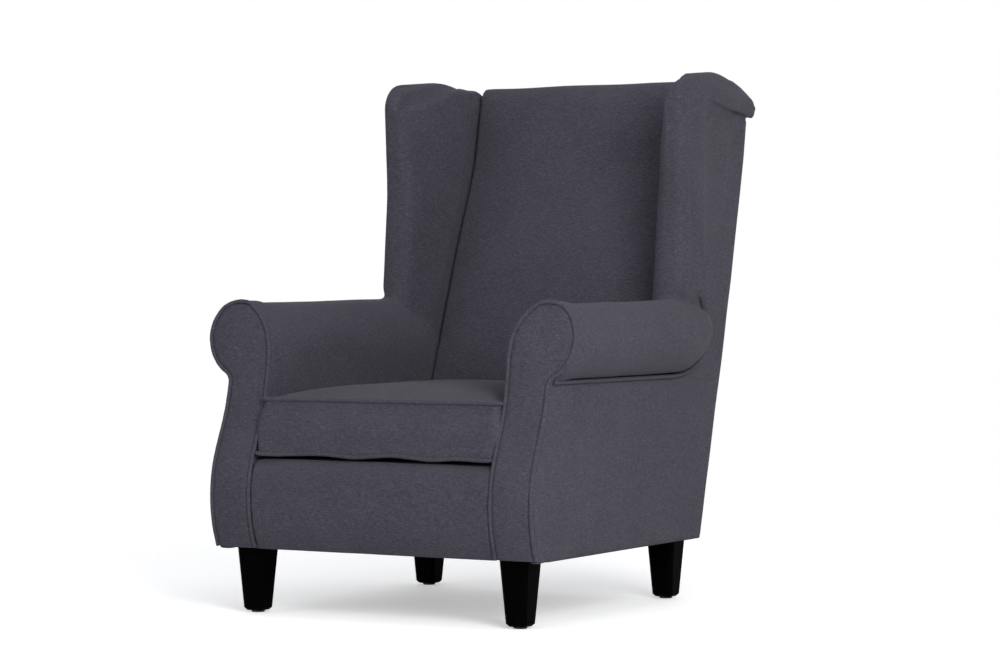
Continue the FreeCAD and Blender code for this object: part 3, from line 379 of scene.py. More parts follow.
@dataclass(frozen=True, kw_only=True)
class SawnTimber(Finish):
    """Pale hardwood of the frame as it leaves the saw."""

    name: str = "frame_timber"
    early: Colour = (0.52, 0.35, 0.2)
    late: Colour = (0.33, 0.19, 0.095)
    rough: float = 0.62
    gloss: float = 0.3
    depth: float = 0.3 * MM
    rings: tuple[float, float, float] = (260.0, 170.0, 24.0)
    ring_power: float = 1.6
    ring_share: float = 0.55
    sway: float = 26.0
    sway_grain: tuple[float, float, float] = (3.0, 3.0, 1.2)
    pores: tuple[float, float, float] = (700.0, 90.0, 700.0)
    pore_share: float = 0.45
    tone_range: tuple[float, float] = (0.15, 0.85)
    saw_marks: tuple[float, float, float] = (160.0, 160.0, 900.0)

    def looks(self, graph: Graph, place: Socket) -> Looks:
        """Swaying year rings, pores and the marks of the saw."""
        sway = graph.grain(place, self.sway_grain, detail=2.0)
        across, along, up = (part * turns for part, turns in zip(graph.parts(place), self.rings))
        rings = ((across + along + up + sway * self.sway).sine() * 0.5 + 0.5) ** self.ring_power
        pores = graph.grain(place, self.pores, detail=3.0)
        tone = (rings * self.ring_share + pores * self.pore_share).ramp(*self.tone_range)
        colour = graph.blend(tone, self.early, self.late)
        saw = graph.grain(place, self.saw_marks, detail=1.0)
        relief = graph.relief(pores * 0.5 + saw * 0.5, self.depth)
        return colour, self.rough + pores * self.rough_swing, relief


@dataclass(frozen=True, kw_only=True)
class Steel(Finish):
    """Drawn or plated steel of the springs and fasteners."""

    colour: Colour
    dull: Colour
    depth: float = 0.05 * MM
    drawn: tuple[float, float, float] = (900.0, 60.0, 900.0)
    stain: float = 35.0
    dull_range: tuple[float, float] = (0.4, 0.7)

    def looks(self, graph: Graph, place: Socket) -> Looks:
        """Drawing lines and faint stains."""
        drawn = graph.grain(place, self.drawn, detail=3.0)
        stain = graph.grain(place, self.stain, detail=4.0)
        colour = graph.blend(stain.ramp(*self.dull_range), self.colour, self.dull)
        rough = self.rough + stain * self.rough_swing
        return colour, rough, graph.relief(drawn, self.depth)

    def steady(self) -> dict[str, float]:
        """Metal all over."""
        return {"Metallic": 1.0}


@dataclass(frozen=True, kw_only=True)
class LiningCloth(Finish):
    """Thin non-woven cloth, embossed with a grid of fused dots."""

    colour: Colour
    pale: Colour
    rough: float = 0.8
    rough_swing: float = 0.15
    dots: float = 1.9 * MM
    dot_range: tuple[float, float] = (0.2, 0.9)
    dot_share: float = 0.3
    dot_depth: float = 0.6
    fibre: tuple[float, float, float] = (500.0, 800.0, 500.0)
    fibre_share: float = 0.8
    tone_range: tuple[float, float] = (0.3, 0.9)

    def looks(self, graph: Graph, place: Socket) -> Looks:
        """Fibres pressed flat at each dot."""
        waves = [(part * (math.tau / self.dots)).sine() for part in graph.parts(place)]
        dots = (waves[0] * waves[1]).ramp(*self.dot_range)
        fibre = graph.grain(place, self.fibre, detail=4.0)
        tone = (fibre * self.fibre_share + dots * self.dot_share).ramp(*self.tone_range)
        colour = graph.blend(tone, self.colour, self.pale)
        relief = graph.relief(fibre - dots * self.dot_depth, self.depth)
        return colour, self.rough + fibre * self.rough_swing, relief


@dataclass(frozen=True, kw_only=True)
class Webbing(Finish):
    """Elastic webbing or zip tape: narrow ribs across it and stripes along it."""

    colour: Colour
    stripe: Colour
    rough: float = 0.75
    depth: float = 0.3 * MM
    rib: float = 1.6 * MM
    rib_share: float = 0.7
    stripe_pitch: float = 12.5 * MM
    stripe_range: tuple[float, float] = (0.1, 0.35)
    stripe_share: float = 0.7
    fibre: tuple[float, float, float] = (900.0, 900.0, 300.0)
    fibre_share: float = 0.3

    def looks(self, graph: Graph, place: Socket) -> Looks:
        """Ribs, stripes and loose fibres."""
        across, _, up = graph.parts(place)
        ribs = (up * (math.tau / self.rib)).sine() * 0.5 + 0.5
        stripes = (across * (math.tau / self.stripe_pitch)).sine().ramp(*self.stripe_range)
        fibre = graph.grain(place, self.fibre, detail=2.0)
        loose = fibre * self.fibre_share
        tone = (stripes * self.stripe_share + loose).limited()
        colour = graph.blend(tone, self.colour, self.stripe)
        relief = graph.relief(ribs * self.rib_share + loose, self.depth)
        return colour, self.rough + fibre * self.rough_swing, relief


@dataclass(frozen=True, kw_only=True)
class Moulding(Finish):
    """Matte moulded nylon with a fine spark-eroded skin."""

    colour: Colour
    scuffed: Colour
    rough: float = 0.48
    rough_swing: float = 0.25
    gloss: float = 0.5
    depth: float = 0.06 * MM
    skin: float = 1500.0
    scuff: float = 140.0
    scuff_range: tuple[float, float] = (0.5, 0.72)

    def looks(self, graph: Graph, place: Socket) -> Looks:
        """Pitted skin with a few scuffs."""
        skin = graph.grain(place, self.skin, detail=2.0)
        scuff = graph.grain(place, self.scuff, detail=4.0)
        colour = graph.blend(scuff.ramp(*self.scuff_range), self.colour, self.scuffed)
        rough = self.rough + scuff * self.rough_swing
        return colour, rough, graph.relief(skin, self.depth)


CLOTH = WovenCloth(name="charcoal_cloth").make()
BIAS_CLOTH = WovenCloth(
    name="charcoal_bias_cloth", turn=math.radians(45), depth=0.16 * MM
).make()
LACQUER = Lacquer().make()
TIMBER = SawnTimber().make()
SPRING_STEEL = Steel(
    name="spring_steel", colour=(0.3, 0.3, 0.31), dull=(0.16, 0.15, 0.15), rough=0.38
).make()
ZINC = Steel(
    name="zinc_plate", colour=(0.62, 0.61, 0.58), dull=(0.42, 0.41, 0.38), rough=0.3
).make()
ZIP_METAL = Steel(
    name="zip_metal", colour=(0.09, 0.09, 0.095), dull=(0.04, 0.04, 0.042), rough=0.36
).make()
DUST_CLOTH = LiningCloth(
    name="black_dust_cloth", colour=(0.011, 0.011, 0.012), pale=(0.034, 0.034, 0.036)
).make()
DECK_CLOTH = LiningCloth(
    name="grey_deck_cloth", colour=(0.055, 0.055, 0.06), pale=(0.1, 0.1, 0.108), dots=1.5 * MM
).make()
BACK_WEB = Webbing(
    name="back_webbing", colour=(0.03, 0.03, 0.03), stripe=(0.22, 0.15, 0.08)
).make()
ZIP_TAPE = Webbing(
    name="zip_tape", colour=(0.02, 0.02, 0.022), stripe=(0.03, 0.03, 0.032),
    rib=1.1 * MM, stripe_pitch=3 * MM,
).make()
NYLON = Moulding(
    name="black_nylon", colour=(0.018, 0.018, 0.019), scuffed=(0.06, 0.06, 0.062)
).make()


def copied(nodes: Iterable[str]) -> BMesh:
    """Copies of some CAD nodes as one bmesh, with the doubles merged."""
    mesh = bmesh.new()
    for node in nodes:
        mesh.from_mesh(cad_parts[node].data)
    bmesh.ops.remove_doubles(mesh, verts=mesh.verts, dist=HAIR)
    return mesh


def around(nodes: Iterable[str]) -> BVHTree:
    """Search tree over the surface of some CAD nodes."""
    mesh = copied(nodes)
    tree = BVHTree.FromBMesh(mesh)
    mesh.free()
    return tree


def let_out(nodes: Iterable[str], gap: float) -> BVHTree:
    """Search tree over the surfaces of some CAD nodes, each let out by a gap on its own."""
    sharpest = 1.8
    places: list[Vector] = []
    faces: list[list[int]] = []
    for node in nodes:
        mesh = copied([node])
        mesh.normal_update()
        mesh.verts.index_update()
        start = len(places)
        faces += [[start + vertex.index for vertex in face.verts] for face in mesh.faces]
        for vertex in mesh.verts:
            step = gap * min(vertex.calc_shell_factor(), sharpest)
            places.append(vertex.co + vertex.normal * step)
        mesh.free()
    return BVHTree.FromPolygons(places, faces)


def faces_of(node: str, wanted: Test) -> BMesh:
    """A copy of those faces of a CAD node whose normals pass a test."""
    mesh = copied([node])
    hidden = [face for face in mesh.faces if not wanted(face.normal)]
    bmesh.ops.delete(mesh, geom=hidden, context="FACES")
    return mesh


def backed(node: str, outward: Test, depth: float) -> BMesh:
    """The outer faces of a thin skin, given a thick back so that it can be stuffed.

    Args:
        node: the CAD node.
        outward: tells from a face's normal whether the face is on the outside.
        depth: thickness behind the face in metres.

    Returns:
        A closed shell.
    """
    mesh = faces_of(node, outward)
    bmesh.ops.solidify(mesh, geom=mesh.faces[:], thickness=depth)
    bmesh.ops.recalc_face_normals(mesh, faces=mesh.faces)
    return mesh


def clipped(
    nodes: Iterable[str], low: Sequence[float], high: Sequence[float]
) -> list[BMesh]:
    """Copies of CAD nodes, each cut off square at the faces of a box and closed again."""
    ends = []
    for node in nodes:
        mesh = copied([node])
        for index in range(3):
            axis = Vector([float(index == place) for place in range(3)])
            for corner, sense in ((low, -1), (high, 1)):
                cut = bmesh.ops.bisect_plane(
                    mesh, geom=mesh.verts[:] + mesh.edges[:] + mesh.faces[:],
                    plane_co=Vector(corner), plane_no=axis * sense, clear_outer=True,
                )
                rim = [item for item in cut["geom_cut"] if isinstance(item, bmesh.types.BMEdge)]
                bmesh.ops.holes_fill(mesh, edges=rim)
        ends.append(mesh)
    return ends


def grid(cells: tuple[int, int], size: Sequence[float]) -> BMesh:
    """A flat grid round the origin, with that many cells and that size along X and Y."""
    mesh = bmesh.new()
    bmesh.ops.create_grid(mesh, x_segments=cells[0], y_segments=cells[1], size=0.5)
    bmesh.ops.scale(mesh, verts=mesh.verts, vec=Vector((*size, 1.0)))
    return mesh


def add_box(
    mesh: BMesh, size: Sequence[float], place: Sequence[float], turn: float = 0.0
) -> None:
    """Add a box of that size at a place, turned about Z."""
    made = bmesh.ops.create_cube(mesh, size=1.0)["verts"]
    bmesh.ops.scale(mesh, verts=made, vec=Vector(size))
    bmesh.ops.rotate(mesh, verts=made, cent=Vector(), matrix=Matrix.Rotation(turn, 3, "Z"))
    bmesh.ops.translate(mesh, verts=made, vec=Vector(place))


def blunt(mesh: BMesh, width: float, segments: int = 1) -> None:
    """Bevel all the edges of a small hard thing."""
    bmesh.ops.bevel(
        mesh, geom=mesh.edges[:], offset=width, affect="EDGES", segments=segments, profile=0.5,
        material=-1,
    )


def repaint(nodes: Iterable[str], finish: bpy.types.Material) -> None:
    """Give CAD nodes that are shown as they are a finish of their own."""
    for node in nodes:
        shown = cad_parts[node]
        shown.data.materials.clear()
        shown.data.materials.append(finish)
        log.info("%s: finished in %s", node, finish.name)


def nodes_like(*starts: str) -> list[str]:
    """Names of the CAD nodes that start with any of some words."""
    return [name for name in sorted(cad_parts) if name.startswith(starts)]


def limited(share: float) -> float:
    """Share held between 0 and 1."""
    return min(max(share, 0.0), 1.0)


def smooth(share: float) -> float:
    """Share held between 0 and 1 and eased at both ends."""
    part = limited(share)
    return part * part * (3 - 2 * part)


def corners_of(node: str) -> tuple[Vector, Vector]:
    """Lowest and highest corner of a node at rest."""
    low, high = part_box(node)
    return Vector(low), Vector(high)


class Work:
    """A piece in the making. Each step changes it and returns the work, for the next step."""

    def __init__(self, name: str, mesh: BMesh) -> None:
        """Turn a bmesh into an object at the origin and free it."""
        data = bpy.data.meshes.new(name)
        mesh.to_mesh(data)
        mesh.free()
        self.piece = self.shown(name, data)

    @staticmethod
    def shown(name: str, data: bpy.types.Mesh) -> bpy.types.Object:
        """A smooth object in the scene for a mesh."""
        data.shade_smooth()
        made = bpy.data.objects.new(name, data)
        bpy.context.scene.collection.objects.link(made)
        return made

    @classmethod
    def remeshed(cls, name: str, mesh: BMesh, voxel: float) -> "Work":
        """An even mesh of squares over a closed shape, with its edges eased by the voxel's size."""
        work = cls(name + "_rough", mesh)
        step = work.piece.modifiers.new("voxels", "REMESH")
        step.mode = "VOXEL"
        step.voxel_size = voxel
        graph = bpy.context.evaluated_depsgraph_get()
        data = bpy.data.meshes.new_from_object(work.piece.evaluated_get(graph))
        bpy.data.objects.remove(work.piece)
        data.name = name
        work.piece = cls.shown(name, data)
        return work

    @classmethod
    def body(
        cls, name: str, own: Sequence[str], parts: Iterable[BMesh], voxel: float, tuck: float,
        deeper: float = 0.0,
    ) -> "Work":
        """A body for a cover, which runs on under its neighbours so that no seam stands open.

        Args:
            name: the piece's name.
            own: the CAD nodes whose surface the cover shows.
            parts: closed meshes that the body is made of, those under its neighbours too.
            voxel: size of its faces.
            tuck: how far its surface lies inside the nodes', to leave room for the stuffing.
            deeper: how much further in it lies where its neighbours cover it.

        Returns:
            The body, without its stuffing.
        """
        cover = around(own)
        whole = bmesh.new()
        for part in parts:
            loose = cls(name + "_part", part).piece
            whole.from_mesh(loose.data)
            bpy.data.objects.remove(loose)

        def sunk(place: Vector, normal: Vector) -> Vector:
            """Step inwards at a place."""
            away = cover.find_nearest(place)[3]
            return normal * -(tuck + deeper * min(away / (2 * voxel), 1.0))

        return cls.remeshed(name, whole, voxel).moved(sunk)

    def moved(self, change: Step) -> "Work":
        """Move each point of the piece by what change gives for its place and normal."""
        points = self.piece.data.vertices
        normals = [vertex.normal.copy() for vertex in points]
        for vertex, normal in zip(points, normals):
            vertex.co = vertex.co + change(vertex.co, normal)
        self.piece.data.update()
        return self

    def eased(self, rounds: int, where: Optional[Test] = None) -> "Work":
        """Smooth the points a number of times, all of them or those where the test is true."""
        mesh = bmesh.new()
        mesh.from_mesh(self.piece.data)
        points = [vertex for vertex in mesh.verts if where is None or where(vertex.co)]
        for _ in range(rounds):
            bmesh.ops.smooth_vert(
                mesh, verts=points, factor=0.5, use_axis_x=True, use_axis_y=True, use_axis_z=True
            )
        mesh.to_mesh(self.piece.data)
        mesh.free()
        self.piece.data.update()
        return self

    def cleared(
        self, hard: Sequence[str], gap: float = 2.2 * MM,
        share: Callable[[Vector], float] = lambda place: 1.0,
    ) -> "Work":
        """Push a cover out, along its own normals, to a gap over what lies beneath it.

        Args:
            hard: the CAD nodes under it.
            gap: its distance from them, less than nothing for a form that it may sink into.
            share: how much of its step a place takes, between 0 and 1.

        Returns:
            The work.
        """
        grown = let_out(hard, gap)
        deepest = 14 * MM
        boards = 3

        def change(place: Vector, normal: Vector) -> Vector:
            """Step out of the grown timber, through one board after another."""
            gone = 0.0
            part = share(place)
            if part == 0:
                return Vector()
            for _ in range(boards):
                start = place + normal * gone
                _, facing, _, away = grown.ray_cast(start, normal, deepest - gone)
                if facing is None or facing.dot(normal) <= 0:
                    break
                gone += away + HAIR
            return normal * (gone * part)

        return self.moved(change)

    def hemmed(self, drop: float = 2.5 * MM, reach: float = 16 * MM) -> "Work":
        """Pull a cover's lower edge down a little, over the edge of the rail."""
        foot = min(vertex.co.z for vertex in self.piece.data.vertices)

        def change(place: Vector, normal: Vector) -> Vector:
            """Step down at a place."""
            return Vector((0.0, 0.0, -drop * max(0.0, 1 - (place.z - foot) / reach)))

        return self.moved(change)

    def pillowed(self, node: str, rise: float, reach: float, way: Vector) -> "Work":
        """Raise a padded board's face away from the piping round it.

        Args:
            node: the CAD node of the piping.
            rise: height of the pillow in metres.
            reach: distance from the piping at which it is full.
            way: the way that the face looks.

        Returns:
            The work.
        """
        rim = around([node])

        def change(place: Vector, normal: Vector) -> Vector:
            """Step outwards at a place."""
            share = min(rim.find_nearest(place)[3] / reach, 1.0)
            return way * (rise * math.sqrt(share) * max(normal.dot(way), 0.0))

        return self.moved(change)

    def drawn_in(
        self, neighbours: Iterable[str], depth: float, reach: float, where: Optional[Test] = None
    ) -> "Work":
        """Draw a cover in along its seam with its neighbours, so that it reads as a fine groove.

        Args:
            neighbours: the CAD nodes on the seam's other side.
            depth: how far it steps back at the seam.
            reach: distance from the neighbours at which it has its full height again.
            where: tells which places are drawn in, or none for all.

        Returns:
            The work.
        """
        rim = around(neighbours)

        def change(place: Vector, normal: Vector) -> Vector:
            """Step inwards at a place."""
            away = rim.find_nearest(place, reach)[3]
            if away is None or where and not where(place):
                return Vector()
            return normal * (depth * (away / reach - 1))

        return self.moved(change)

    def gathered(self, welts: Iterable[str], reach: float) -> "Work":
        """Draw a cover up to its piping, from within reach of it, so that the seam is closed."""
        cord = around(welts)
        strength = 2.0
        bite = 1 * MM

        def change(place: Vector, normal: Vector) -> Vector:
            """Step towards the piping, and a bite into it."""
            near, _, _, away = cord.find_nearest(place, reach)
            if near is None:
                return Vector()
            pull = min(1.0, strength * (1 - away / reach))
            return (near - place) * (pull * (1 + bite / max(away, bite)))

        return self.moved(change)

    def filled(self, node: str, fill: float, start: float, run: float = 5 * MM) -> "Work":
        """Widen a cover deep in its side seams, so that there is nothing to see through them.

        Args:
            node: the CAD node whose front the cover shows.
            fill: how much further out each side wall lies.
            start: depth behind the front at which the walls begin to widen.
            run: depth over which they do.

        Returns:
            The work.
        """
        facing_front = -0.4
        wall_start, wall_run = 0.3, 0.4
        face = faces_of(node, lambda normal: normal.y <= facing_front)
        front = BVHTree.FromBMesh(face)
        face.free()

        def change(place: Vector, normal: Vector) -> Vector:
            """Step sideways at a place."""
            deep = smooth((front.find_nearest(place)[3] - start) / run)
            wall = smooth((abs(normal.x) - wall_start) / wall_run)
            return Vector((math.copysign(fill * deep * wall, place.x), 0.0, 0.0))

        return self.moved(change)

    def rumpled(self, height: float, reach: float, shift: float = 0.0) -> "Work":
        """Give a stuffed piece the slow unevenness of its filling."""
        offset = Vector((shift, shift, shift))
        return self.moved(
            lambda place, normal: normal * (noise.noise(place / reach + offset) * height)
        )

    def refined(self, levels: int = 1) -> "Work":
        """Add one smooth subdivision that renders as it is shown."""
        step = self.piece.modifiers.new("subdivision", "SUBSURF")
        step.levels = levels
        step.render_levels = levels
        return self

    def thickened(self, thickness: float, offset: float) -> "Work":
        """Give a thin cloth its thickness."""
        step = self.piece.modifiers.new("thickness", "SOLIDIFY")
        step.thickness = thickness
        step.offset = offset
        return self

    def dressed(
        self, finish: bpy.types.Material, slot: str, body: Body, stands_for: Sequence[str] = ()
    ) -> "Work":
        """Give the piece what the frame and the export have to know about it.

        Args:
            finish: its material.
            slot: not used.
            body: the body that it rides on.
            stands_for: CAD nodes that it replaces.

        Returns:
            The work.
        """
        piece = self.piece
        piece.data.materials.clear()
        piece.data.materials.append(finish)
        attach(piece, body.value)
        if stands_for:
            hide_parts(*stands_for)
        log.info("%s: %d faces", piece.name, len(piece.data.polygons))
        return self


@dataclass
class Stuffing:
    """A piece that waits to be stuffed.

    The cap is how far a point may move, and held tells which places are sewn down. The finish
    does the rest of the work on the piece once it is stuffed.
    """

    work: Work
    cap: float
    held: Test
    finish: Callable[[Work], None]
    voxel: float
    pressure: float = 4.0
    form: Optional[bpy.types.Object] = None


class Bench:
    """Where the padded pieces wait, so that one run of the clock stuffs them all.

    Each is stuffed through a form, a coarser mesh of the same shape, and takes its swelling over.
    """

    frames = 20
    quality = 3
    coarser = 2.1
    least_step = 1e-9
    least_distance = 1e-5

    def __init__(self) -> None:
        """Start with nothing on the bench."""
        self.waiting: list[Stuffing] = []

    def lay(self, job: Stuffing) -> None:
        """Put a piece on the bench."""
        self.waiting.append(job)

    def fill(self) -> None:
        """Stuff all the pieces as cloth under pressure, then finish each."""
        for job in self.waiting:
            self.sew_up(job)
        for moment in range(1, self.frames + 1):
            bpy.context.scene.frame_set(moment)
        for job in self.waiting:
            self.take_over(job)
        bpy.context.scene.frame_set(1)
        for job in self.waiting:
            job.finish(job.work)

    def sew_up(self, job: Stuffing) -> None:
        """Make a piece's form and give it its cloth, held down at its seams."""
        piece = job.work.piece
        mesh = bmesh.new()
        mesh.from_mesh(piece.data)
        form = Work.remeshed(piece.name + "_form", mesh, job.voxel * self.coarser).piece
        sewn = form.vertex_groups.new(name="sewn")
        held = [vertex.index for vertex in form.data.vertices if job.held(vertex.co)]
        sewn.add(held, 1.0, "REPLACE")
        cloth = form.modifiers.new("stuffing", "CLOTH")
        cloth.settings.use_pressure = True
        cloth.settings.uniform_pressure_force = job.pressure
        cloth.settings.vertex_group_mass = sewn.name
        cloth.settings.effector_weights.gravity = 0
        cloth.settings.quality = self.quality
        cloth.collision_settings.use_collision = False
        cloth.point_cache.frame_start = 1
        cloth.point_cache.frame_end = self.frames
        job.form = form

    def take_over(self, job: Stuffing) -> None:
        """Carry a form's swelling over to its piece, no further than the cap, and remove it."""
        form = job.form
        evaluated = form.evaluated_get(bpy.context.evaluated_depsgraph_get())
        swollen = evaluated.to_mesh()
        steps = []
        for vertex, end in zip(form.data.vertices, swollen.vertices):
            step = end.co - vertex.co
            steps.append(step * min(1.0, job.cap / max(step.length, self.least_step)))
        evaluated.to_mesh_clear()
        faces = [polygon.vertices[:] for polygon in form.data.polygons]
        places = [vertex.co.copy() for vertex in form.data.vertices]
        surface = BVHTree.FromPolygons(places, faces)

        def change(place: Vector, normal: Vector) -> Vector:
            """Swelling of the form beside a place."""
            near, _, index, _ = surface.find_nearest(place)
            corners = faces[index]
            shares = [
                1 / ((places[corner] - near).length + self.least_distance) for corner in corners
            ]
            total = sum((steps[corner] * share for corner, share in zip(corners, shares)), Vector())
            return total / sum(shares)

        job.work.moved(change)
        bpy.data.objects.remove(form)
        log.info("%s: stuffed", job.work.piece.name)


@dataclass
class Piping:
    """Cord covered in cloth cut on the bias, sewn into a seam."""

    voxel: float = 1.9 * MM
    unevenness: float = 0.3 * MM
    pucker: float = 9 * MM

    def sew(self, name: str, node: str, body: Body) -> Work:
        """Make the piping that stands for a node.

        Args:
            name: the piece's name.
            node: the CAD node of the piping.
            body: the body that it rides on.

        Returns:
            The finished work.
        """
        work = Work.remeshed(name, copied([node]), self.voxel).eased(2)
        work.rumpled(self.unevenness, self.pucker, shift=len(name))
        return work.dressed(BIAS_CLOTH, "piping", body, [node])


@dataclass(frozen=True)
class WingTop:
    """Shape of a wing's top, which the CAD's plain roll doesn't have.

    The starts, ends and feet are places in the frame, the rises and drops are heights, and the
    runs and fades are the lengths over which a change comes on or goes.
    """

    side: str
    sign: int
    roll: float
    slimmer: float = 22 * MM
    slim_start: float = 0.8
    slim_gain: float = 1.4
    slim_delay: float = 0.2
    crest_rise: float = 12 * MM
    crest_start: float = 0.95
    crest_gain: float = 1.5
    crest_power: float = 0.7
    brow_drop: float = 50 * MM
    brow_end: float = 0.4
    brow_run: float = 0.25
    heel_rise: float = 6 * MM
    heel_start: float = 0.37
    heel_run: float = 0.03
    tail_rise: float = 14 * MM
    tail_start: float = 0.385
    tail_run: float = 0.08
    tail_foot: float = 0.965
    tail_fade: float = 0.03
    tail_lap: float = 1.2
    lip: float = 7.5 * MM
    lip_start: float = 0.235
    lip_run: float = 35 * MM
    lip_root: float = 7 * MM
    lip_width: float = 14 * MM
    lip_fade: float = 40 * MM
    droop: float = 1.1
    droop_width: float = 8 * MM
    droop_fade: float = 18 * MM
    crease: float = 1.5 * MM
    crease_reach: float = 4 * MM

    def shaped(self) -> Step:
        """Change that slims the wing towards its top and shapes its crest, lower at the seat."""
        low, high = corners_of("wing_pad_" + self.side)
        axis = max(abs(low.x), abs(high.x)) - self.roll
        depth = high.y - low.y

        def change(place: Vector, normal: Vector) -> Vector:
            """Step at a place."""
            outer = place.x * self.sign - axis
            height = smooth((place.z - self.slim_start) / (high.z - self.slim_start))
            forward = smooth((high.y - place.y) / depth * self.slim_gain - self.slim_delay)
            inward = smooth(-outer / self.roll)
            lean = limited((self.roll - outer) / (2 * self.roll))
            crest = smooth((place.z - self.crest_start) / (high.z - self.crest_start))
            back = limited((place.y - low.y) / depth * self.crest_gain)
            rise = self.crest_rise * math.sin(math.pi * back) ** self.crest_power
            rise += self.heel_rise * smooth((place.y - self.heel_start) / self.heel_run)
            rise -= self.brow_drop * lean * smooth((self.brow_end - place.y) / self.brow_run)
            tail = self.tail_rise * smooth((place.y - self.tail_start) / self.tail_run)
            tail *= smooth((place.z - self.tail_foot) / self.tail_fade)
            tail *= smooth(outer / self.roll + self.tail_lap)
            slim = self.sign * self.slimmer * height * forward * inward
            return Vector((slim, 0.0, rise * crest + tail))

        return change

    def lipped(self) -> Step:
        """Change that lets the top roll stand out over the outer side, with a crease under it."""
        panel = around(["side_panel_" + self.side])
        flank = abs(corners_of("wing_post_" + self.side)[1 if self.sign > 0 else 0].x)

        def change(place: Vector, normal: Vector) -> Vector:
            """Step at a place."""
            beside = place.x * self.sign < flank or place.y < self.lip_start
            if place.z < self.crest_start or beside:
                return Vector()
            away = panel.find_nearest(place)[3]
            along = smooth((place.y - self.lip_start) / self.lip_run)
            root = smooth(away / self.lip_root)
            out = root * (1 - smooth((away - self.lip_width) / self.lip_fade))
            under = 1 - smooth(away / self.crease_reach)
            down = root * (1 - smooth((away - self.droop_width) / self.droop_fade))
            across = self.lip * out - self.crease * under
            return Vector((self.sign * across, 0.0, -self.lip * self.droop * down)) * along

        return change


@dataclass
class ChairSide:
    """One side of the chair.

    The inside arm, its roll and the wing are one stuffed cover, as no seam shows between them.
    The arm's front, the outer side and the piping are pieces of their own.
    """

    side: str
    sign: int
    voxel: float = 5.5 * MM
    tuck: float = 1.2 * MM
    deeper: float = 2.5 * MM
    swell: float = 7 * MM
    groove: float = 2 * MM
    groove_reach: float = 8 * MM
    roll: float = 33 * MM
    sink: float = 0.5 * MM
    cover: float = 3.5 * MM
    front_gap: float = 4 * MM
    front_facing: float = 1.6
    front_zone: float = -330 * MM
    front_inset: float = 1.5 * MM
    front_voxel: float = 3.6 * MM
    front_pillow: float = 3 * MM
    front_reach: float = 30 * MM
    skin_voxel: float = 4.8 * MM
    skin_depth: float = 15 * MM
    skin_deeper: float = 1.5 * MM
    skin_cover: float = 2.45 * MM
    skin_hem: float = 4 * MM
    skin_facing: float = 0.04
    seam: float = 226 * MM
    lap: float = 14 * MM
    tuck_groove: float = 6 * MM
    tuck_reach: float = 11.2 * MM
    tuck_fall: float = 90 * MM

    def build(self, bench: Bench) -> None:
        """Make the side's pieces."""
        self.arm_and_wing(bench)
        self.front()
        self.outer_side()
        for name, node in (("front", "arm_facing"), ("under_roll", "under_roll")):
            welt = "%s_welt_%s" % (node, self.side)
            Piping().sew("%s_piping_%s" % (name, self.side), welt, Body.CHAIR)

    def named(self, *stems: str) -> list[str]:
        """Names of this side's nodes."""
        return [stem + "_" + self.side for stem in stems]

    def timbers(self) -> list[str]:
        """The timber under this side's covers."""
        return self.named(
            "arm_front_post", "arm_top_rail", "arm_tack_rail", "wing_post", "wing_top_rail",
            "side_rail", "back_post",
        )

    def arm_and_wing(self, bench: Bench) -> None:
        """Inside arm, roll and wing, stuffed between the arm's front and the back."""
        own = self.named("arm_pad", "wing_pad")
        pad_low, _ = corners_of(own[0])
        wing_low, wing_high = corners_of(own[1])
        inner = corners_of("inside_back")[1 if self.sign > 0 else 0].x
        front = corners_of("arm_facing_" + self.side)[0].y
        reach = sorted((inner, self.sign))
        rails = self.named("arm_top_rail", "arm_tack_rail", "wing_post", "wing_top_rail")
        parts = [copied(own + rails)]
        parts += clipped(
            self.named("arm_front_post", "arm_facing"),
            (reach[0], front, pad_low.z), (reach[1], 1.0, wing_high.z),
        )
        shown = own + self.named("arm_facing")
        name = "arm_and_wing_" + self.side
        work = Work.body(name, shown, parts, self.voxel, self.tuck, self.deeper)
        work.eased(4).moved(self.behind_front)
        inside_back = around(["inside_back"])
        back_reach, hem = self.voxel * 1.3, self.voxel * 2

        def sewn(place: Vector) -> bool:
            """Held at the arm's front, along the seat and where it meets the inside back."""
            at_back = inside_back.find_nearest(place, back_reach)[0] is not None
            return place.y < pad_low.y or place.z < pad_low.z + hem or at_back

        rail_foot = corners_of("wing_post_" + self.side)[0].z
        flank = max(abs(wing_low.x), abs(wing_high.x)) - self.roll
        flank_run = self.roll * 0.7

        def on_outside(place: Vector) -> float:
            """Share that grows towards the wing's outer side, over the arm."""
            across = smooth((place.x * self.sign - flank) / flank_run)
            return across * smooth((place.z - rail_foot) / self.roll - 1)

        def finish(made: Work) -> None:
            """Ease the stuffed cover and dress it."""
            top = WingTop(self.side, self.sign, self.roll)
            made.moved(top.shaped()).eased(2)
            made.rumpled(height=1.3 * MM, reach=95 * MM, shift=self.sign)
            made.cleared(own, -self.sink, on_outside).cleared(self.timbers(), self.cover)
            made.moved(top.lipped())
            made.drawn_in(["inside_back"], self.groove, self.groove_reach).refined()
            made.dressed(CLOTH, "cover_inside", Body.CHAIR, own)

        bench.lay(Stuffing(work, self.swell, sewn, finish, self.voxel))

    def behind_front(self, place: Vector, normal: Vector) -> Vector:
        """Step that keeps a cover's front end behind the arm's front."""
        if place.y >= self.front_zone:
            return Vector()
        return Vector((0.0, self.front_gap * smooth(-normal.y * self.front_facing), 0.0))

    def front(self) -> None:
        """Padded board that closes the arm's end."""
        node, welt = self.named("arm_facing", "arm_facing_welt")
        work = Work.remeshed("arm_front_" + self.side, copied([node]), self.front_voxel).eased(2)
        work.moved(lambda place, normal: normal * (-self.front_inset * (1 - abs(normal.y))))
        work.pillowed(welt, self.front_pillow, self.front_reach, way=Vector((0.0, -1.0, 0.0)))
        work.rumpled(height=0.7 * MM, reach=60 * MM, shift=self.sign * 2)
        work.cleared(self.timbers()).hemmed().refined()
        work.dressed(CLOTH, "cover_facing", Body.CHAIR, [node])

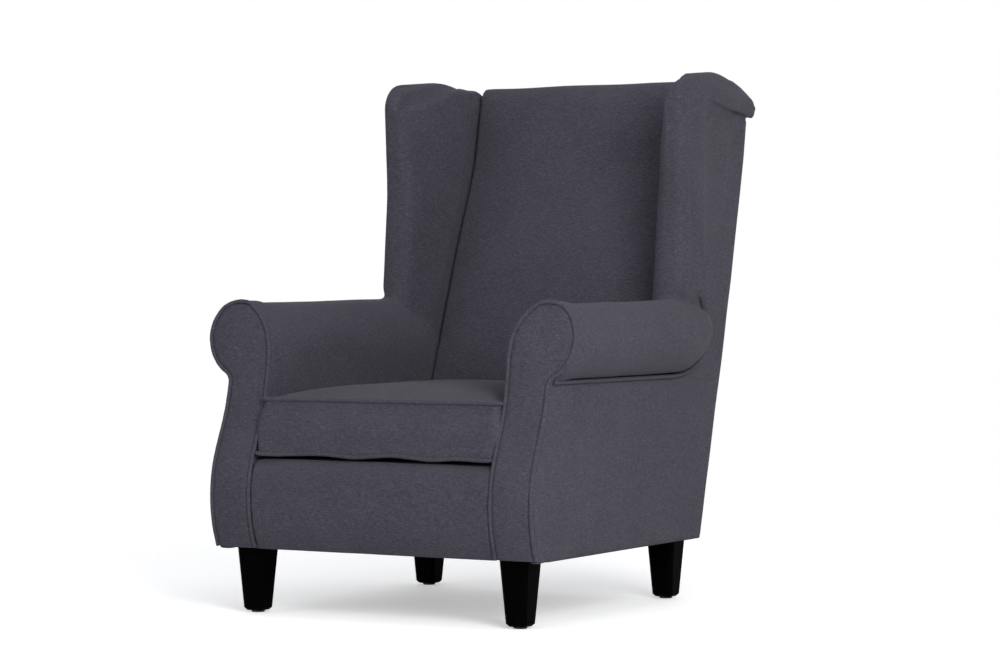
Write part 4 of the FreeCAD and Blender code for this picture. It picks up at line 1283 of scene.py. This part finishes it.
    def outer_side(self) -> None:
        """Flat cover of the outer side, which runs on under the arm's front and the wing."""
        node = "side_panel_" + self.side
        low, high = corners_of(node)
        post_foot = corners_of("wing_post_" + self.side)[0].z
        neck = corners_of("under_roll_welt_" + self.side)[0].z
        edge = high.x if self.sign > 0 else low.x
        skin = sorted((edge, edge - self.sign * self.skin_depth))
        facing, depth = self.skin_facing, self.skin_depth
        parts = [backed(node, lambda normal: normal.x * self.sign > facing, depth)]
        parts += clipped(
            self.named("arm_facing", "arm_front_post"), (skin[0], -1.0, low.z), (skin[1], 1.0, neck)
        )
        parts += clipped(
            self.named("wing_pad", "wing_top_rail", "wing_post"),
            (skin[0], self.seam - self.lap, post_foot), (skin[1], 1.0, high.z + self.lap),
        )
        name, shown = "outer_side_" + self.side, [node, "arm_facing_" + self.side]
        work = Work.body(name, shown, parts, self.skin_voxel, 0.0, self.skin_deeper)
        work.eased(2).moved(self.behind_front)
        work.rumpled(height=1.4 * MM, reach=130 * MM, shift=self.sign * 3)
        work.drawn_in(
            self.named("wing_pad"), self.tuck_groove, self.tuck_reach,
            lambda place: place.z > high.z - self.tuck_fall,
        )
        work.cleared(self.timbers(), self.skin_cover).hemmed(self.skin_hem)
        work.dressed(CLOTH, "cover_outside", Body.CHAIR, [node])


@dataclass
class Back:
    """The inside back with its top roll, and the outside back."""

    voxel: float = 6.5 * MM
    tuck: float = 1.5 * MM
    swell: float = 7 * MM
    groove: float = 2.2 * MM
    groove_reach: float = 8 * MM
    fill: float = 10 * MM
    fill_start: float = 11 * MM
    panel_voxel: float = 6 * MM
    panel_depth: float = 16 * MM
    panel_facing: float = 0.5
    rails: tuple[str, ...] = (
        "top_back_rail", "lower_back_rail", "rear_rail", "back_post_left", "back_post_right",
    )

    def build(self, bench: Bench) -> None:
        """Make the back's pieces."""
        self.inside(bench)
        self.outside()

    def inside(self, bench: Bench) -> None:
        """Inside back, crowned between the wings and rolled over the top."""
        node = "inside_back"
        low, high = corners_of(node)
        hem = self.voxel * 1.2

        def at_side(place: Vector) -> bool:
            """True along both side seams."""
            return place.x < low.x + hem or place.x > high.x - hem

        def between(place: Vector) -> bool:
            """True away from the side seams."""
            return not at_side(place)

        def sewn(place: Vector) -> bool:
            """Held down both side seams and along the foot."""
            return at_side(place) or place.z < low.z + hem

        def finish(made: Work) -> None:
            """Ease the stuffed cover and dress it."""
            made.filled(node, self.fill, self.fill_start).eased(2, between)
            made.rumpled(height=1.8 * MM, reach=140 * MM, shift=7.0).cleared(self.rails)
            made.drawn_in(["wing_pad_left", "wing_pad_right"], self.groove, self.groove_reach)
            made.refined()
            made.dressed(CLOTH, "cover_inside", Body.CHAIR, [node])

        work = Work.body("inside_back_cover", [node], [copied([node])], self.voxel, self.tuck)
        work.eased(2).eased(4, between)
        bench.lay(Stuffing(work, self.swell, sewn, finish, self.voxel))

    def outside(self) -> None:
        """Flat outside back between the rounded rear corners."""
        node = "outside_back"
        shell = backed(node, lambda normal: normal.y > self.panel_facing, self.panel_depth)
        work = Work.remeshed("outside_back_cover", shell, self.panel_voxel).eased(2)
        work.rumpled(height=1.4 * MM, reach=150 * MM, shift=9.0).cleared(self.rails).hemmed()
        work.dressed(CLOTH, "cover_outside", Body.CHAIR, [node])


@dataclass
class SeatBase:
    """Apron, padded deck and the cloth under the seat with its staples."""

    apron_fill: float = 3 * MM
    apron_fill_start: float = 6 * MM
    apron_voxel: float = 4.2 * MM
    deck_voxel: float = 8 * MM
    sag: float = 4 * MM
    fold: float = 0.25
    fold_reach: tuple[float, float] = (0.2, 0.05)
    staple_pitch: float = 45 * MM
    staple_width: float = 10 * MM
    staple_wire: float = 0.9 * MM
    staple_inset: float = 7 * MM
    staple_bite: float = 0.18 * MM
    staple_edge: float = 0.225 * MM
    cells: int = 40

    def build(self) -> None:
        """Make the seat base's pieces."""
        self.apron()
        self.deck()
        self.dust_cover()
        self.staples()

    def apron(self) -> None:
        """Rolled front under the cushion."""
        node = "front_apron"
        work = Work.remeshed("front_apron_cover", copied([node]), self.apron_voxel).eased(4)
        work.rumpled(height=1.4 * MM, reach=80 * MM, shift=11.0)
        work.filled(node, self.apron_fill, self.apron_fill_start)
        work.cleared(["front_rail"]).hemmed().refined()
        work.dressed(CLOTH, "cover_outside", Body.CHAIR, [node])

    def deck(self) -> None:
        """Padded deck over the springs, in plain cloth."""
        node = "seat_deck"
        work = Work.remeshed("seat_deck_cover", copied([node]), self.deck_voxel).eased(3)
        work.dressed(DECK_CLOTH, "cover_inside", Body.CHAIR, [node])

    def dust_cover(self) -> None:
        """Thin cloth stretched under the rails."""
        node = "dust_cover"
        low, high = corners_of(node)
        middle = (low + high) / 2
        size = high - low
        mesh = grid((self.cells, self.cells), size.xy)
        bmesh.ops.translate(mesh, verts=mesh.verts, vec=Vector((middle.x, middle.y, low.z)))

        def slack(place: Vector, normal: Vector) -> Vector:
            """Sag between the rails, most in the middle, with faint folds."""
            share_x = 1 - abs(2 * (place.x - middle.x) / size.x) ** 2
            share_y = 1 - abs(2 * (place.y - middle.y) / size.y) ** 2
            spot = Vector((place.x / self.fold_reach[0], place.y / self.fold_reach[1], 0.0))
            fold = noise.noise(spot) * self.fold
            return Vector((0, 0, -self.sag * share_x * share_y * (1 + fold)))

        work = Work("dust_cover_cloth", mesh).moved(slack).thickened(size.z, offset=1.0)
        work.dressed(DUST_CLOTH, "lining", Body.CHAIR, [node])

    def staples(self) -> None:
        """Staples round the dust cover, as one piece."""
        low, high = corners_of("dust_cover")
        shape = (self.staple_width, self.staple_wire, self.staple_wire)
        height = low.z - self.staple_bite
        rows = ((low.x, high.x, low.y, high.y, False), (low.y, high.y, low.x, high.x, True))
        mesh = bmesh.new()
        for start, end, near, far, turned in rows:
            count = int((end - start) / self.staple_pitch)
            for fixed in (near + self.staple_inset, far - self.staple_inset):
                for index in range(1, count):
                    along = start + (end - start) * index / count
                    spot = (fixed, along) if turned else (along, fixed)
                    add_box(mesh, shape, (*spot, height), math.pi / 2 if turned else 0.0)
        blunt(mesh, self.staple_edge)
        Work("dust_cover_staples", mesh).dressed(ZINC, "fasteners", Body.CHAIR)


@dataclass
class LooseCushion:
    """Box cushion with piped seams, its zip and the slider."""

    voxel: float = 6 * MM
    tuck: float = 2.5 * MM
    swell: float = 6 * MM
    seam_reach: float = 7 * MM
    wave: float = 5 * MM
    wave_reach: float = 85 * MM
    gather: float = 17 * MM
    ear: float = 10 * MM
    ear_reach: float = 45 * MM
    puff: float = 0.8
    tape_thickness: float = 0.8 * MM
    tape_inset: float = 0.4 * MM
    tape_cells: tuple[int, int] = (60, 4)
    tooth_pitch: float = 2 * MM
    tooth_width: float = 1.24 * MM
    tooth_size: float = 1.5 * MM
    tooth_reach: float = 3.4 * MM
    tooth_shift: float = 0.6 * MM
    tooth_inset: float = 0.1 * MM
    tooth_edge: float = 0.3 * MM
    slider_edge: float = 0.35 * MM

    def build(self, bench: Bench) -> None:
        """Make the cushion's pieces."""
        self.cover(bench)
        for end in ("top", "bottom"):
            piping = Piping().sew("cushion_piping_" + end, "cushion_%s_welt" % end, Body.CUSHION)
            piping.moved(self.sway())
        self.zip_tape()
        self.zip_teeth()
        self.slider()

    def cover(self, bench: Bench) -> None:
        """Cover over its foam: crowned top and underside, boxing between the seams."""
        nodes = ["cushion_foam", "cushion_top_panel", "cushion_bottom_panel", "cushion_boxing"]
        welts = ["cushion_top_welt", "cushion_bottom_welt"]
        parts = [copied(nodes + ["cushion_zip"])]
        work = Work.body("seat_cushion_cover", nodes, parts, self.voxel, self.tuck).eased(4)
        seams = [sum(corners_of(node), Vector()).z / 2 for node in welts]

        def sewn(place: Vector) -> bool:
            """Held at both piped seams."""
            away = min(abs(place.z - seam) for seam in seams)
            return away < self.seam_reach and self.at_rim(place)

        def finish(made: Work) -> None:
            """Ease the stuffed cover and dress it."""
            made.eased(2).rumpled(height=1.6 * MM, reach=110 * MM, shift=13.0)
            made.gathered(welts, self.gather).moved(self.sway()).refined()
            made.dressed(CLOTH, "cover_cushion", Body.CUSHION, nodes)

        bench.lay(Stuffing(work, self.swell, sewn, finish, self.voxel))

    def sway(self) -> Step:
        """Change that waves the front's lower seam and fills the front's corners."""
        low, high = corners_of("cushion_foam")
        foot, head = (corners_of("cushion_%s_welt" % end)[0] for end in ("bottom", "top"))

        def change(place: Vector, normal: Vector) -> Vector:
            """Step up or down at a place, and outwards at the front's corners."""
            share = smooth((high.z - place.z) / (high.z - low.z))
            share *= smooth(1 - (place.y - low.y) / (high.y - low.y))
            wave = noise.noise(Vector((place.x / self.wave_reach, 0.0, 0.0)))
            up = (place.z - foot.z) / (head.z - foot.z)
            near = smooth(1 - (place.y - foot.y - (head.y - foot.y) * up) / self.ear_reach)
            corner = self.ear * near * smooth(1 - (high.x - abs(place.x)) / self.ear_reach)
            outward = corner * (1 + self.puff * math.sin(math.pi * limited(up)))
            return Vector((math.copysign(outward, place.x), -corner, self.wave * wave * share))

        return change

    def at_rim(self, place: Vector) -> bool:
        """True within reach of the cushion's outline in plan."""
        low, high = corners_of("cushion_top_welt")
        reach = self.voxel * 3
        inside_x = low.x + reach < place.x < high.x - reach
        return not (inside_x and low.y + reach < place.y < high.y - reach)

    def zip_tape(self) -> None:
        """Woven tape of the zip, proud of the boxing's rear face."""
        node = "cushion_zip"
        low, high = corners_of(node)
        middle = (low + high) / 2
        place = Vector((middle.x, high.y - self.tape_inset, middle.z))
        upright = Matrix.Rotation(math.pi / 2, 3, "X")
        mesh = grid(self.tape_cells, (high - low).xz)
        bmesh.ops.rotate(mesh, verts=mesh.verts, cent=Vector(), matrix=upright)
        bmesh.ops.translate(mesh, verts=mesh.verts, vec=place)
        work = Work("zip_tape", mesh).thickened(self.tape_thickness, offset=0.0)
        work.dressed(ZIP_TAPE, "zip", Body.CUSHION, [node])

    def zip_teeth(self) -> None:
        """Two rows of coil teeth that mesh along the middle of the tape."""
        low, high = corners_of("cushion_zip")
        middle = (low + high) / 2
        shape = (self.tooth_width, self.tooth_size, self.tooth_reach)
        mesh = bmesh.new()
        for index in range(int((high.x - low.x) / self.tooth_pitch) - 1):
            shift = self.tooth_shift if index % 2 else -self.tooth_shift
            along = low.x + (index + 1) * self.tooth_pitch
            add_box(mesh, shape, (along, high.y - self.tooth_inset, middle.z + shift))
        blunt(mesh, self.tooth_edge)
        Work("zip_teeth", mesh).dressed(NYLON, "zip", Body.CUSHION)

    def slider(self) -> None:
        """Zip slider with eased edges."""
        node = "cushion_zip_slider"
        mesh = copied([node])
        flat = math.radians(2)
        bmesh.ops.dissolve_limit(mesh, angle_limit=flat, verts=mesh.verts, edges=mesh.edges)
        blunt(mesh, self.slider_edge, segments=2)
        Work("zip_slider_body", mesh).dressed(ZIP_METAL, "zip_slider", Body.SLIDER, [node])


@dataclass
class HiddenFrame:
    """Legs, timbers, springs and fasteners, shown as the CAD has them."""

    def build(self) -> None:
        """Finish each group of nodes."""
        repaint(nodes_like("leg_"), LACQUER)
        repaint(nodes_like("glide_"), NYLON)
        repaint(nodes_like("hanger_bolts", "tee_nuts", "spring_clips"), ZINC)
        repaint(nodes_like("seat_springs"), SPRING_STEEL)
        repaint(nodes_like("back_webbing"), BACK_WEB)
        timbers = nodes_like(
            "arm_front_post_", "arm_tack_rail_", "arm_top_rail_", "back_post_", "side_rail_",
            "wing_post_", "wing_top_rail_", "front_rail", "rear_rail", "top_back_rail",
            "lower_back_rail", "corner_blocks",
        )
        repaint(timbers, TIMBER)


@dataclass
class Studio:
    """Camera of the photograph, pale floor and soft light."""

    azimuth: float = math.radians(29.72)
    pitch: float = math.radians(0.825)
    lens: float = 107.38
    stand: tuple[float, float, float] = (2.98273, -5.20746, 0.62404)
    sight: float = 100.0
    floor_size: float = 60.0
    floor_rough: float = 0.7
    floor_tooth: float = 240.0
    floor_colours: tuple[Colour, Colour] = ((0.86, 0.865, 0.875), (0.88, 0.885, 0.89))
    fade: tuple[float, float] = (0.9, 2.2)
    sky: tuple[float, float, float, float] = (0.96, 0.97, 1.0, 1.0)
    paper: tuple[float, float, float, float] = (1.0, 1.0, 1.0, 1.0)
    aim: tuple[float, float, float] = (0.0, 0.0, 0.55)
    white: float = 1.0
    # strength of the painted glow that lightens the floor and its shadow for the camera
    glow: float = 0.4
    ambient: float = 0.5

    def build(self) -> None:
        """Set up the whole studio."""
        bpy.context.scene.view_settings.view_transform = "Standard"
        self.camera()
        self.world()
        self.floor()
        self.lamp("window", stand=(3.0, -2.6, 1.9), width=1.8, power=132.0)
        self.lamp("fill", stand=(-2.6, -3.6, 1.6), width=2.4, power=24.0)
        self.lamp("top", stand=(0.4, -0.3, 3.6), width=2.4, power=22.0)

    def camera(self) -> None:
        """Place the camera where the photograph was taken."""
        turn, drop = self.azimuth, self.pitch
        level = math.cos(drop)
        ahead = Vector((-math.sin(turn) * level, math.cos(turn) * level, -math.sin(drop)))
        right = Vector((math.cos(turn), math.sin(turn), 0.0))
        up = right.cross(ahead)
        data = bpy.data.cameras.new("photo_camera")
        data.lens = self.lens
        data.clip_end = self.sight
        made = bpy.data.objects.new("photo_camera", data)
        axes = Matrix((right, up, -ahead)).transposed().to_4x4()
        made.matrix_world = Matrix.Translation(Vector(self.stand)) @ axes
        bpy.context.scene.collection.objects.link(made)
        bpy.context.scene.camera = made

    def world(self) -> None:
        """Even ambient light, and white where the camera, gloss and glass look past the chair."""
        graph = Graph("studio_world", world=True)
        path = graph.node("ShaderNodeLightPath")
        camera, glossy, glass = [
            Signal(graph, path.outputs["Is %s Ray" % ray])
            for ray in ("Camera", "Glossy", "Transmission")
        ]
        dim, plain_white = [
            graph.node("ShaderNodeBackground", None, {"Color": colour, "Strength": strength})
            for colour, strength in ((self.sky, self.ambient), (self.paper, self.white))
        ]
        seen = (camera + glossy + glass).limited()
        sides = {0: seen, 1: dim.outputs[0], 2: plain_white.outputs[0]}
        mix = graph.node("ShaderNodeMixShader", None, sides)
        graph.node("ShaderNodeOutputWorld", None, {"Surface": mix.outputs[0]})
        bpy.context.scene.world = graph.holder

    def floor(self) -> None:
        """Pale floor that fades into plain white away from the chair, with painted light: a faint
        glow, seen only by the camera, that lightens the floor and the chair's shadow on it.
        """
        piece = Work("studio_floor", grid((2, 2), (self.floor_size, self.floor_size))).piece
        graph = Graph("studio_paper")
        place = graph.place()
        across, along, _ = graph.parts(place)
        away = ((across * across + along * along) ** 0.5).ramp(*self.fade)
        tooth = graph.grain(place, self.floor_tooth, detail=2.0)
        path = graph.node("ShaderNodeLightPath")
        camera = Signal(graph, path.outputs["Is Camera Ray"])
        seen = camera + Signal(graph, path.outputs["Is Glossy Ray"])
        # painted light: the floor glows for the camera alone, which lightens the chair's shadow on
        # it
        glow = (self.glow, self.glow, self.glow)
        paper = graph.node("ShaderNodeBsdfPrincipled", None, {
            "Base Color": graph.blend(tooth, *self.floor_colours), "Roughness": self.floor_rough,
            "Emission Color": graph.blend(camera, (0.0, 0.0, 0.0), glow), "Emission Strength": 1.0,
        })
        white = {"Color": self.paper, "Strength": self.white}
        lit = graph.node("ShaderNodeEmission", None, white)
        mix = graph.node("ShaderNodeMixShader", None, {
            0: away * seen.limited(), 1: paper.outputs[0], 2: lit.outputs[0],
        })
        graph.node("ShaderNodeOutputMaterial", None, {"Surface": mix.outputs[0]})
        piece.data.materials.append(graph.holder)

    def lamp(
        self, name: str, stand: tuple[float, float, float], width: float, power: float
    ) -> None:
        """Add a square soft light that looks at the chair's middle.

        Args:
            name: the lamp's name.
            stand: where it stands.
            width: the side of its square.
            power: its watts.
        """
        data = bpy.data.lights.new(name, "AREA")
        data.size = width
        data.energy = power
        made = bpy.data.objects.new(name, data)
        aim = Vector(self.aim) - Vector(stand)
        turned = aim.to_track_quat("-Z", "Y").to_matrix().to_4x4()
        made.matrix_world = Matrix.Translation(Vector(stand)) @ turned
        bpy.context.scene.collection.objects.link(made)


def main() -> None:
    """Build the chair's pieces and the studio."""
    logging.basicConfig(level=logging.INFO, format="%(name)s: %(message)s")
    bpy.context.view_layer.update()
    Studio().build()
    HiddenFrame().build()
    bench = Bench()
    for side, sign in SIDES:
        ChairSide(side, sign).build(bench)
    Back().build(bench)
    SeatBase().build()
    LooseCushion().build(bench)
    bench.fill()
    bpy.context.view_layer.update()


if __name__ == "__main__":
    main()
